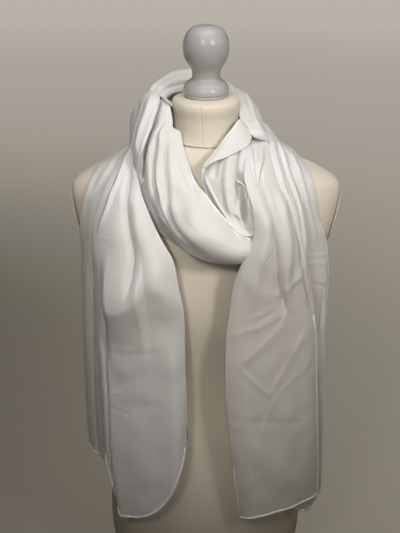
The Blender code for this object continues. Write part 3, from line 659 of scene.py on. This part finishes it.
def edge_turn(across, width, turn):
    """How far in and how far back a turned edge lies, at shares across from that edge.

    The strip of TURN_LENGTH along the edge is bent to an arc of the given angle. The third
    result is how wide the bent strip looks from outside.
    """
    angle = np.radians(np.maximum(turn, 0.5))
    radius = TURN_LENGTH * width / angle
    bent = np.clip(1 - across / TURN_LENGTH, 0.0, 1.0) * angle
    reach = radius * np.sin(np.minimum(angle, math.pi / 2))
    return reach - radius * np.sin(bent), radius * (1 - np.cos(bent)), reach


def bump(distance, width, crisp):
    """A ridge's height from 1 on its line to 0 at its width: rounded, or cusped where crisp."""
    near = np.clip(1 - distance / width, 0, 1)
    return (1 - crisp) * ease(near) + crisp * near**2


def fold_lift(u, v, width, folds):
    """How far the folds raise the cloth, at places u along and v across a band.

    Each fold's line is the cubic through its four places across. Its height eases in and
    out over a fifth of its run, unless it runs off the band's end.
    """
    lift = np.zeros_like(u)
    for begins, ends, p1, p2, p3, p4, height, left_mm, right_mm, crisp in folds:
        run = np.clip((u - begins) / (ends - begins), 0, 1)
        third, late, over = run - 1 / 3, run - 2 / 3, run - 1
        line = (
            -4.5 * third * late * over * p1
            + 13.5 * run * late * over * p2
            - 13.5 * run * third * over * p3
            + 4.5 * run * third * late * p4
        )
        off = (v - line) * width
        shape = bump(np.abs(off), np.where(off < 0, left_mm, right_mm), crisp)
        comes = ease(run * 5) if begins > 0 else 1
        goes = ease((1 - run) * 5) if ends < 1 else 1
        lift += height * shape * comes * goes
    return lift


def crease_lift(u, v, width, length, creases):
    """How far straight creases raise the cloth: a ridge round each one, highest at its middle.

    Its width above it and below it may differ, and turns from one to the other round its ends.
    Where ridges meet, the higher one counts, and so does the deeper of grooves, so that a bent
    crease is given as several straight ones. Across the band, above is towards its start.
    """
    ridges = np.zeros_like(u)
    grooves = np.zeros_like(u)
    for along_1, across_1, along_2, across_2, height, above_mm, below_mm, crisp in creases:
        run_along = (along_2 - along_1) * length
        run_across = (across_2 - across_1) * width
        from_along = (u - along_1) * length
        from_across = (v - across_1) * width
        share = (from_along * run_along + from_across * run_across) / (run_along**2 + run_across**2)
        share = np.clip(share, 0, 1)
        off = np.hypot(from_along - share * run_along, from_across - share * run_across)
        side = from_along * run_across - from_across * run_along
        side = side / np.maximum(off * np.hypot(run_along, run_across), 1e-6)
        reach = above_mm + (below_mm - above_mm) * (0.5 + 0.5 * np.clip(side, -1, 1))
        lift = height * bump(off, reach, crisp)
        ridges = np.maximum(ridges, lift)
        grooves = np.minimum(grooves, lift)
    return ridges + grooves


def band_frame(rows, hem, along, across):
    """A band's smooth form before its folds: points, places u and v, width and length in mm.

    The two edges follow smooth curves through the rows. From edge to edge the cloth goes
    straight, standing out by the bulge times a sine to the power 1.2, and it bends back along
    each edge. Its grid is stretched along so that the last row lies on the hem.
    """
    places = far_along(middles_of(rows))
    length = places[-1]
    places = places / length
    order = np.linspace(0, len(rows) - 1, along)
    u = np.interp(order, np.arange(len(rows)), places)
    v = np.linspace(0, 1, across)
    runs_to = smooth(np.array(hem)[:, None], np.linspace(0, 1, len(hem)), v)[:, 0]
    u, v = np.meshgrid(u, v, indexing="ij")
    u = u * runs_to
    values = smooth(rows, places, u.ravel()).reshape(along, across, 9)
    left = values[..., 0:3]
    right = values[..., 3:6]
    bulge, turn_left, turn_right = np.moveaxis(values[..., 6:9], -1, 0)
    chord = right - left
    width = np.linalg.norm(chord, axis=-1)
    path = np.gradient((left + right) / 2, axis=0)
    out = unit(np.cross(unit(path), unit(chord)))
    in_left, back_left, reach_left = edge_turn(v, width, turn_left)
    in_right, back_right, reach_right = edge_turn(1 - v, width, turn_right)
    middle = np.clip((v - TURN_LENGTH) / (1 - 2 * TURN_LENGTH), 0, 1)
    sideways = reach_left + middle * (width - reach_left - reach_right)
    sideways = np.where(v < TURN_LENGTH, in_left, sideways)
    sideways = np.where(v > 1 - TURN_LENGTH, width - in_right, sideways)
    depth = bulge * np.sin(math.pi * v) ** 1.2 - back_left - back_right
    points = left + unit(chord) * sideways[..., None] + out * depth[..., None]
    return points, u, v, width, length


def ripple(points, seed):
    """A gentle unevenness: eight plane waves of about RIPPLE_LONG, at seeded angles."""
    draw = np.random.default_rng(seed)
    lift = np.zeros(points.shape[:-1])
    for _ in range(8):
        way = unit(draw.normal(size=3) * np.array([1.0, 0.7, 0.45]))
        wave = RIPPLE_LONG * draw.uniform(0.7, 1.5)
        begins = draw.uniform(0, 6.3)
        lift += np.sin(points @ way * (2 * math.pi / wave) + begins)
    return lift * RIPPLE_HIGH / 8**0.5


def band(rows, folds, creases, drops, hem, seed):
    """Points of a band of cloth in mm, as (along, across, xyz).

    The smooth form is moved along its own outward direction by the sum of its folds, its
    creases, the folds that run across it and the ripple.
    """
    rows = np.array(rows, float)
    width = np.linalg.norm(rows[:, 3:6] - rows[:, 0:3], axis=1).max() * GRID_SPARE
    along = int(far_along(middles_of(rows))[-1] / GRID_ALONG) + 2
    across = int(width / GRID_ACROSS) + 2
    points, u, v, width, length = band_frame(rows, hem, along, across)
    normal = unit(np.cross(np.gradient(points, axis=0), np.gradient(points, axis=1)))
    lift = fold_lift(u, v, width, folds) + crease_lift(u, v, width, length, creases)
    lift += fold_lift(v, u, length, drops)
    lift += ripple(points, seed)
    return points + normal * lift[..., None]


# --- meshes ---


def grid_mesh(name, points, closed_across=False):
    """A mesh of four-sided faces over a grid of points in mm, with a UV map in metres.

    The map's first axis runs across the grid and its second along it, by the distance
    between neighbouring points on the middle lines.
    """
    along, across, _ = points.shape
    index = np.arange(along * across).reshape(along, across)
    beside = np.roll(index, -1, axis=1) if closed_across else index[:, 1:]
    first = index if closed_across else index[:, :-1]
    quads = np.stack([first[:-1], first[1:], beside[1:], beside[:-1]], axis=-1).reshape(-1, 4)
    mesh = bpy.data.meshes.new(name)
    mesh.from_pydata((points.reshape(-1, 3) * MM).tolist(), [], quads.tolist())
    flat = np.meshgrid(far_along(points[along // 2]), far_along(points[:, across // 2]))
    flat = np.stack(flat, axis=-1).reshape(-1, 2) * MM
    layer = mesh.uv_layers.new(name="cloth")
    layer.data.foreach_set("uv", flat[quads.ravel()].astype(np.float32).ravel())
    mesh.shade_smooth()
    return mesh


def closed_body(name, points):
    """A tube of rings with both its ends filled and its faces pointing out."""
    mesh = grid_mesh(name, points, closed_across=True)
    shell = bmesh.new()
    shell.from_mesh(mesh)
    open_edges = [edge for edge in shell.edges if edge.is_boundary]
    bmesh.ops.holes_fill(shell, edges=open_edges, sides=points.shape[1])
    bmesh.ops.recalc_face_normals(shell, faces=shell.faces)
    shell.to_mesh(mesh)
    shell.free()
    return mesh


def add_object(name, data):
    """A new object in the scene."""
    made = bpy.data.objects.new(name, data)
    bpy.context.scene.collection.objects.link(made)
    return made


def add_piece(name, mesh, finish, node=None):
    """A visible piece in its finish. It stands for the solid of its node, where it has one."""
    piece = add_object(name, mesh)
    mesh.materials.append(finish)
    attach(piece, "root")
    if node:
        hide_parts(node)
    return piece


def add_body(name, rings, finish, node):
    """A piece of the form: a closed body over its rings, smooth but for its sharp bends."""
    mesh = closed_body(name, rings)
    mesh.set_sharp_from_angle(angle=math.radians(SHARP_BEND))
    add_piece(name, mesh, finish, node)


# --- finishes ---


def linear(code):
    """An sRGB hex colour as linear red, green, blue and alpha."""
    shares = [int(code[i:i + 2], 16) / 255 for i in (1, 3, 5)]
    return [s / 12.92 if s <= 0.04045 else ((s + 0.055) / 1.055) ** 2.4 for s in shares] + [1.0]


def cells(*sizes):
    """The scale that makes a pattern's cells this large in mm, along one axis or each of them."""
    scales = [1000 / size for size in sizes]
    return scales if len(scales) > 1 else scales[0]


def set_inputs(node, inputs):
    """Gives each input, by name or number, its value, its hex colour or the socket feeding it."""
    for key, value in inputs.items():
        if isinstance(value, bpy.types.NodeSocket):
            node.id_data.links.new(value, node.inputs[key])
        elif isinstance(value, str):
            node.inputs[key].default_value = linear(value)
        else:
            node.inputs[key].default_value = value


def add_node(tree, kind, inputs, **properties):
    """Adds a node with its properties and its inputs."""
    node = tree.nodes.new("ShaderNode" + kind)
    for key, value in properties.items():
        setattr(node, key, value)
    set_inputs(node, inputs)
    return node


def new_finish(name):
    """A new material: itself, its tree and its Principled shader."""
    made = bpy.data.materials.new(name)
    made.use_nodes = True
    return made, made.node_tree, made.node_tree.nodes["Principled BSDF"]


def satin_finish(name, painted_shade_colour=None):
    """Polyester satin, woven with long floats on its face: white, soft, with a silky sheen.

    Given a second colour, it blends into it below the shoulders as painted shade, darker lower
    down.
    """
    made, tree, shader = new_finish(name)
    where = add_node(tree, "UVMap", {}, uv_map="cloth").outputs[0]
    # The warp's floats give the face its run. Real ones, 0.1 mm wide and 1 mm long, are too fine
    # to show, so they are drawn as streaks 0.6 mm wide and 11 mm long.
    warp = add_node(tree, "Mapping", {"Vector": where, "Scale": cells(0.625, 11.11, 1000)})
    floats = add_node(tree, "TexNoise", {"Vector": warp.outputs[0], "Scale": 1.0, "Detail": 2.0})
    # The white is a little uneven, in soft patches 36 mm across.
    patches = add_node(tree, "TexNoise", {"Vector": where, "Scale": cells(35.71), "Detail": 3.0})
    colour = add_node(
        tree, "Mix", {0: patches.outputs[0], 6: "#E6E4E1", 7: "#DEDCD9"}, data_type="RGBA"
    )
    # Painted shade: lower down, the colour blends into the darker, warmer second colour.
    if painted_shade_colour:
        place = add_node(tree, "TexCoord", {})
        height = add_node(tree, "SeparateXYZ", {0: place.outputs["Object"]}).outputs["Z"]
        ends = {"From Min": SHADE_BEGINS_Z * MM, "From Max": SHADE_FULL_Z * MM}
        share = add_node(tree, "MapRange", {0: height, **ends}).outputs[0]
        tones = {0: share, 6: colour.outputs[2], 7: painted_shade_colour}
        colour = add_node(tree, "Mix", tones, data_type="RGBA")
    # Slack cloth keeps soft dents 22 mm across and 62 mm along, up to 3 mm deep.
    drape = add_node(tree, "Mapping", {"Vector": where, "Scale": cells(21.74, 62.5, 1000)})
    dents = add_node(tree, "TexNoise", {
        "Vector": drape.outputs[0],
        "Scale": 1.0,
        "Detail": 4.0,
        "Roughness": 0.6,
        "Distortion": 1.2,
    })
    soft = add_node(
        tree, "Bump", {"Height": dents.outputs[0], "Strength": 0.32, "Distance": 3 * MM}
    )
    relief = add_node(tree, "Bump", {
        "Height": floats.outputs[0],
        "Normal": soft.outputs[0],
        "Strength": 0.25,
        "Distance": 0.2 * MM,
    })
    set_inputs(shader, {
        "Base Color": colour.outputs[2],
        "Roughness": 0.42,
        "Sheen Weight": 0.30,
        "Sheen Roughness": 0.35,
        "Normal": relief.outputs[0],
    })
    return made


def hem_finish():
    """The satin rolled over itself and stitched, coloured whiter than the cloth as a painted
    highlight.
    """
    made, tree, shader = new_finish("rolled satin hem")
    where = add_node(tree, "UVMap", {}, uv_map="cloth").outputs[0]
    # Fine stitches every 1.2 mm along the hem. A wave's length is 0.1 pi over its scale.
    stitched = {"Vector": where, "Scale": 0.1 * math.pi * cells(1.208)}
    stitches = add_node(tree, "TexWave", stitched, bands_direction="Y").outputs["Fac"]
    relief = add_node(tree, "Bump", {"Height": stitches, "Strength": 0.3, "Distance": 0.3 * MM})
    # Its near-white base colour is a painted highlight along the hem.
    set_inputs(shader, {
        "Base Color": "#FBFAF8",
        "Roughness": 0.20,
        "Specular IOR Level": 1.0,
        "Sheen Weight": 0.5,
        "Sheen Roughness": 0.3,
        "Normal": relief.outputs[0],
    })
    return made


def jersey_finish():
    """Cream cotton jersey stretched over the form: matte, with the knit's fine wales."""
    made, tree, shader = new_finish("cream cotton jersey")
    where = add_node(tree, "TexCoord", {}).outputs["Object"]
    # Real wales are 0.7 mm wide and their loops 0.6 mm high, too fine to show. They are drawn
    # as loose ribs 1.6 mm wide and 2.4 mm high.
    knit = add_node(tree, "Mapping", {"Vector": where, "Scale": cells(1.613, 1.613, 2.381)})
    wales = add_node(tree, "TexNoise", {"Vector": knit.outputs[0], "Scale": 1.0, "Detail": 1.0})
    wales = wales.outputs[0]
    # The cream is a little deeper in soft patches 71 mm across.
    patches = add_node(tree, "TexNoise", {"Vector": where, "Scale": cells(71.43), "Detail": 4.0})
    blend = add_node(tree, "Math", {0: patches.outputs[0], 1: wales}, operation="MULTIPLY")
    colour = add_node(
        tree, "Mix", {0: blend.outputs[0], 6: "#EBE1CF", 7: "#DED2BC"}, data_type="RGBA"
    )
    relief = add_node(tree, "Bump", {"Height": wales, "Strength": 0.35, "Distance": 0.3 * MM})
    set_inputs(shader, {
        "Base Color": colour.outputs[2],
        "Roughness": 0.88,
        "Sheen Weight": 0.15,
        "Sheen Roughness": 0.5,
        "Normal": relief.outputs[0],
    })
    return made


def paint_finish():
    """Grey-white satin paint over turned wood: smooth, with faint turning marks under it."""
    made, tree, shader = new_finish("grey-white satin paint")
    where = add_node(tree, "TexCoord", {}).outputs["Object"]
    # A gouge leaves marks 0.5 mm apart up the knob. They are drawn 1.1 mm apart to show, and
    # each one changes over 83 mm round it.
    turned = add_node(tree, "Mapping", {"Vector": where, "Scale": cells(83.33, 83.33, 1.111)})
    marks = add_node(tree, "TexNoise", {"Vector": turned.outputs[0], "Scale": 1.0, "Detail": 2.0})
    marks = marks.outputs[0]
    # The paint lies thicker and thinner in brushed patches 17 mm across.
    patches = add_node(tree, "TexNoise", {"Vector": where, "Scale": cells(16.67), "Detail": 3.0})
    colour = add_node(
        tree, "Mix", {0: patches.outputs[0], 6: "#C1C0BE", 7: "#B4B3B0"}, data_type="RGBA"
    )
    relief = add_node(tree, "Bump", {"Height": marks, "Strength": 0.15, "Distance": 0.2 * MM})
    set_inputs(shader, {
        "Base Color": colour.outputs[2],
        "Roughness": 0.32,
        "Coat Weight": 0.2,
        "Coat Roughness": 0.2,
        "Normal": relief.outputs[0],
    })
    return made


def board_finish():
    """Pale beech board, lightly sanded: grain in long soft streaks."""
    made, tree, shader = new_finish("sanded pale beech")
    where = add_node(tree, "TexCoord", {}).outputs["Object"]
    # The growth rings are cut as streaks 110 mm long, 6 mm wide and 17 mm through.
    sawn = add_node(tree, "Mapping", {"Vector": where, "Scale": cells(111.1, 5.882, 16.67)})
    streaks = add_node(tree, "TexNoise", {"Vector": sawn.outputs[0], "Scale": 1.0, "Detail": 5.0})
    streaks = streaks.outputs[0]
    colour = add_node(tree, "Mix", {0: streaks, 6: "#DCC7A4", 7: "#B99A70"}, data_type="RGBA")
    relief = add_node(tree, "Bump", {"Height": streaks, "Strength": 0.2, "Distance": 0.3 * MM})
    set_inputs(shader, {
        "Base Color": colour.outputs[2],
        "Roughness": 0.6,
        "Normal": relief.outputs[0],
    })
    return made


def floor_finish():
    """Matt pale paint with a painted glow in place of room light, so that it brightens with
    distance.
    """
    made, tree, shader = new_finish("matt floor paint with painted glow")
    where = add_node(tree, "TexCoord", {}).outputs["Object"]
    dark_place = (FLOOR_DARK_X, 0.0, 0.0)
    far = add_node(tree, "VectorMath", {0: where, 1: dark_place}, operation="DISTANCE")
    far = far.outputs["Value"]
    share = add_node(tree, "Math", {0: far, 1: FLOOR_BRIGHT}, operation="DIVIDE").outputs[0]
    curved = add_node(tree, "Math", {0: share, 1: FLOOR_CURVE}, operation="POWER", use_clamp=True)
    painted_glow = add_node(tree, "ValToRGB", {0: curved.outputs[0]})
    stops = painted_glow.color_ramp.elements
    stops[0].color = linear(FLOOR_GLOW[0][1])
    stops[1].color = linear(FLOOR_GLOW[-1][1])
    for place, code in FLOOR_GLOW[1:-1]:
        stops.new(place).color = linear(code)
    # The floor's brightness is painted light: its own emission, dark left of the form and bright
    # far off.
    set_inputs(shader, {
        "Base Color": "#79736A",
        "Roughness": 0.95,
        "Emission Color": painted_glow.outputs[0],
        "Emission Strength": 1.0,
    })
    return made


# --- the form ---


def oval(row, sides):
    """One oval of the form, as an outline between an ellipse and a rounded box.

    Sideways it goes by the half width times a power of the cosine, and to the front or back by
    that depth times the same power of the sine. Its height adds the lean times the depth and
    the saddle times the square of the depth's share.
    """
    side_z, lean, saddle, half_width, front, back, square = row
    angle = np.linspace(0, 2 * math.pi, sides, endpoint=False)
    cos = np.cos(angle)
    sin = np.sin(angle)
    power = 2 / square
    x = half_width * np.sign(cos) * np.abs(cos) ** power
    share = np.sign(sin) * np.abs(sin) ** power
    y = share * np.where(share < 0, front, back)
    z = side_z + lean * y + saddle * share**2
    return np.stack([x, y, z], axis=1)


def rows_between(rows, outline, count, kept):
    """A table's columns at count even places along its outline, and at its kept rows as well."""
    places = far_along(outline)
    places = places / places[-1]
    wanted = np.unique(np.concatenate([np.linspace(0, 1, count), places[kept]]))
    return smooth(rows, places, wanted, monotone=True)


def lofted(table, count, sides):
    """Rings of points through a table's ovals, on a curve that never overshoots a row."""
    rows = np.array(table, float)
    fine = rows_between(rows, rows[:, [0, 3, 4]], count, [0, 1, -3, -2, -1])
    return np.stack([oval(row, sides) for row in fine])


def arm_opening(points):
    """Flattens what lies past the arm openings' planes, with a softly rounded edge.

    Within ARM_EDGE of the plane, the cover's side bends into it along a parabola.
    """
    x, z = points[..., 0], points[..., 2]
    plane = ARM_TOP_X - (ARM_TOP_Z - z) * ARM_SLOPE
    over = np.abs(x) - plane
    kept = np.where(over > ARM_EDGE, 0, over)
    bent = kept - (kept + ARM_EDGE) ** 2 / (4 * ARM_EDGE)
    rounded = plane + np.where(over < -ARM_EDGE, over, bent)
    flat = np.where(over >= ARM_EDGE, plane, rounded)
    beside = (z > ARM_FOOT_Z) & (np.abs(x) > flat)
    cut = points.copy()
    cut[..., 0] = np.where(beside, np.sign(x) * flat, x)
    return cut


def fair(rings, passes, below):
    """Evens the body out below a height: each ring takes the mean of itself and its neighbours."""
    rings = rings.copy()
    for _ in range(passes):
        middle = (rings[:-2] + 2 * rings[1:-1] + rings[2:]) / 4
        low = rings[1:-1, :, 2] < below
        rings[1:-1] = np.where(low[..., None], middle, rings[1:-1])
    return rings


def form_torso(jersey):
    """The body: its ovals lofted and evened out, then flattened at the arm openings."""
    rings = lofted(TORSO_OVALS, TORSO_RINGS, FORM_SIDES)
    for passes, below in TORSO_FAIRED:
        rings = fair(rings, passes, below)
    add_body("form_torso", arm_opening(rings), jersey, "torso")


def form_neck(jersey):
    """The neck: its ovals lofted, with a groove and a welt along the slanting front seam."""
    rings = lofted(NECK_OVALS, NECK_RINGS, NECK_SIDES)
    up = (rings[..., 2] - NECK_OVALS[0][0]) / NECK_SEAM_HIGH
    off = rings[..., 0] - NECK_SEAM_FOOT_X - (NECK_SEAM_TOP_X - NECK_SEAM_FOOT_X) * up
    lift = sum(high * bump(np.abs(off - to), half, crisp) for to, high, half, crisp in NECK_SEAM)
    lift = np.where(rings[..., 1] < 0, lift, 0)
    outwards = unit(rings * np.array([1.0, 1.0, 0.0]))
    add_body("form_neck", rings + outwards * lift[..., None], jersey, "neck")


def form_knob(paint):
    """The knob: its smoothed outline spun round, standing square on the sloping neck top."""
    outline = np.array(KNOB_OUTLINE, float)
    fine = rows_between(outline, outline, KNOB_RINGS, [-5, -4, -3, -2, -1])[1:-1]
    angle = np.linspace(0, 2 * math.pi, KNOB_SIDES, endpoint=False)
    x = fine[:, :1] * np.cos(angle)
    y = fine[:, :1] * np.sin(angle)
    z = np.broadcast_to(fine[:, 1:], x.shape)
    tilt = math.atan(NECK_LEAN)
    back = y * math.cos(tilt) - z * math.sin(tilt)
    up = y * math.sin(tilt) + z * math.cos(tilt) + NECK_TOP
    add_body("form_knob", np.stack([x, back, up], axis=-1), paint, "knob")


def form_board(wood):
    """The board: its oval outline with a quarter round at its top and bottom edges."""
    edge = TORSO_OVALS[0]
    sizes = np.array(edge[3:6]) - BOARD_INSET
    turn = np.linspace(0, math.pi / 2, 7)
    inset = BOARD_ROUND * (1 - np.sin(turn))
    rise = BOARD_ROUND * (1 - np.cos(turn))
    insets = np.concatenate([inset, inset[::-1]])
    heights = np.concatenate([rise, BOARD_THICK - rise[::-1]])
    rings = []
    for cut, z in zip(insets, heights):
        rings.append(oval((z, 0, 0, *(sizes - cut), edge[6]), FORM_SIDES))
    add_body("form_board", np.stack(rings), wood, "base_board")


def form_arm_plates(jersey):
    """Padded oval plates: rings from the rim to a slightly crowned middle, on the openings."""
    share, high = np.array(PLATE_RINGS, float).T[..., None]
    angle = np.linspace(0, 2 * math.pi, PLATE_SIDES, endpoint=False)
    y = share * np.cos(angle) * PLATE_HALF_WIDE + PLATE_Y
    up = share * np.sin(angle) * PLATE_HALF_HIGH
    out = np.broadcast_to(high * PLATE_THICK + SEAM, y.shape)
    tilt = math.atan(ARM_SLOPE)
    x = ARM_TOP_X - (ARM_TOP_Z - PLATE_Z) * ARM_SLOPE + out * math.cos(tilt) + up * math.sin(tilt)
    z = PLATE_Z - out * math.sin(tilt) + up * math.cos(tilt)
    for side, node in ((-1, "arm_plate_left"), (1, "arm_plate_right")):
        rings = np.stack([side * x, y, z], axis=-1)
        add_body("form_" + node, rings, jersey, node)


# --- the stole ---


def rolled_hem(line, inner, full):
    """A narrow rolled hem along an edge of the cloth, as rings of points.

    line is the edge and inner the cloth's line next to it. Each ring is an ellipse round the
    edge, moved inwards by a third of its width, with its long axis lying in the cloth. Its size
    swells and shrinks as two sine waves of the distance along the edge, and closes to nearly
    nothing at each end.
    """
    way = unit(np.gradient(line, axis=0))
    inwards = unit(inner - line)
    out = unit(np.cross(way, inwards))
    inwards = unit(np.cross(out, way))
    far = far_along(line)
    turns = far * 2 * math.pi
    swell = 1 + 0.10 * np.sin(turns / HEM_PUCKER) + 0.07 * np.sin(turns / HEM_SWELL + 1)
    near_end = np.minimum(far, far[-1] - far)
    ends = ease(near_end / HEM_CLOSES + 0.02) ** 0.5
    size = (swell * ends * full)[:, None, None]
    angle = np.linspace(0, 2 * math.pi, HEM_SIDES, endpoint=False)[None, :, None]
    centre = line + inwards * HEM_WIDE * 0.35
    across = inwards[:, None, :] * np.cos(angle) * HEM_WIDE / 2
    thick = out[:, None, :] * np.sin(angle) * HEM_THICK / 2
    return centre[:, None, :] + (across + thick) * size


def edge_hems(points, edges):
    """The rolled hems along the named edges of a stretch: foot, left or right."""
    lines = {
        "foot": (points[-1], points[-3]),
        "left": (points[:, 0], points[:, 2]),
        "right": (points[:, -1], points[:, -3]),
    }
    rolls = []
    for edge, begins, ends, full in edges:
        line, inner = lines[edge]
        first = int(begins * (len(line) - 1))
        last = int(ends * (len(line) - 1)) + 1
        rolls.append(rolled_hem(line[first:last], inner[first:last], full))
    return rolls


def strand_hems():
    """The free hems round the pocket: rolled hems along smooth lines through given points."""
    rolls = []
    for strand in HEM_STRANDS:
        rows = np.array(strand, float)
        places = far_along(rows)
        line = smooth(rows, places, np.arange(0, places[-1], GRID_ALONG))
        rolls.append(rolled_hem(line, line + np.array([0.0, 1.0, 0.3]), 1.0))
    return rolls


def hem_piece(name, rolls, hem_satin):
    """Joins rolled hems, each given as rings of points, into one piece."""
    whole = bmesh.new()
    for rings in rolls:
        part = closed_body("hem", rings)
        whole.from_mesh(part)
        bpy.data.meshes.remove(part)
    mesh = bpy.data.meshes.new(name)
    whole.to_mesh(mesh)
    whole.free()
    mesh.shade_smooth()
    return add_piece(name, mesh, hem_satin)


def stole(satin, satin_painted_shade, hem_satin):
    """The wound cloth: each stretch as a thin sheet with the hems that show on it."""
    for number, (node, rows, folds, creases, hem, cut_width, cut_length) in enumerate(STOLE):
        points = band(rows, folds, creases, DROPS.get(node, ()), hem, seed=number)
        cloth = satin_painted_shade if node in PAINTED_SHADE_STRETCHES else satin
        piece = add_piece("satin_" + node, grid_mesh("satin_" + node, points), cloth, node)
        wall = piece.modifiers.new("wall", "SOLIDIFY")
        wall.thickness = SATIN_WALL * MM
        wall.offset = 0.0
        rolls = edge_hems(points, HEMS.get(node, ()))
        if node == "inner_fold":
            rolls += strand_hems()
        hems = [hem_piece("hem_" + node, rolls, hem_satin)] if rolls else []


# --- the studio ---


def add_light(name, place, target, size, power, colour, spread, gleams):
    """A square soft light at a place, turned to face the target."""
    lamp = bpy.data.lights.new(name, "AREA")
    lamp.shape = "SQUARE"
    lamp.size = size
    lamp.energy = power
    lamp.color = linear(colour)[:3]
    lamp.spread = math.radians(spread)
    light = add_object(name, lamp)
    light.visible_camera = False
    light.visible_glossy = gleams
    light.location = place
    way = Vector(target) - Vector(place)
    light.rotation_euler = way.to_track_quat("-Z", "Y").to_euler()


def studio():
    """The floor, the lights, the room's own faint light and the camera."""
    corners = [(x * FLOOR_HALF, y * FLOOR_HALF, 0) for x, y in ((-1, -1), (1, -1), (1, 1), (-1, 1))]
    floor_mesh = bpy.data.meshes.new("studio_floor")
    floor_mesh.from_pydata(corners, [], [(0, 1, 2, 3)])
    floor_mesh.materials.append(floor_finish())
    floor = add_object("studio_floor", floor_mesh)
    floor.visible_diffuse = False

    for light in LIGHTS:
        add_light(*light)
    world = bpy.data.worlds.new("studio air")
    bpy.context.scene.world = world
    world.use_nodes = True
    room = world.node_tree.nodes["Background"]
    set_inputs(room, {"Color": ROOM_COLOUR, "Strength": ROOM_LIGHT})

    lens = bpy.data.cameras.new("camera")
    lens.lens = LENS_MM
    lens.sensor_width = SENSOR_MM
    camera = add_object("camera", lens)
    camera.location = CAMERA_PLACE
    camera.rotation_euler = (math.radians(CAMERA_TILT), 0, 0)
    bpy.context.scene.camera = camera
    bpy.context.scene.view_settings.view_transform = "Standard"


def main():
    """Dresses the form, winds the stole round it and sets up the studio."""
    satin = satin_finish("white polyester satin")
    # The second satin has painted shade: darker and warmer lower down.
    satin_painted_shade = satin_finish("white satin with painted shade lower down", "#DDD8D0")
    jersey = jersey_finish()
    form_torso(jersey)
    form_neck(jersey)
    form_arm_plates(jersey)
    form_knob(paint_finish())
    form_board(board_finish())
    stole(satin, satin_painted_shade, hem_finish())
    studio()


main()
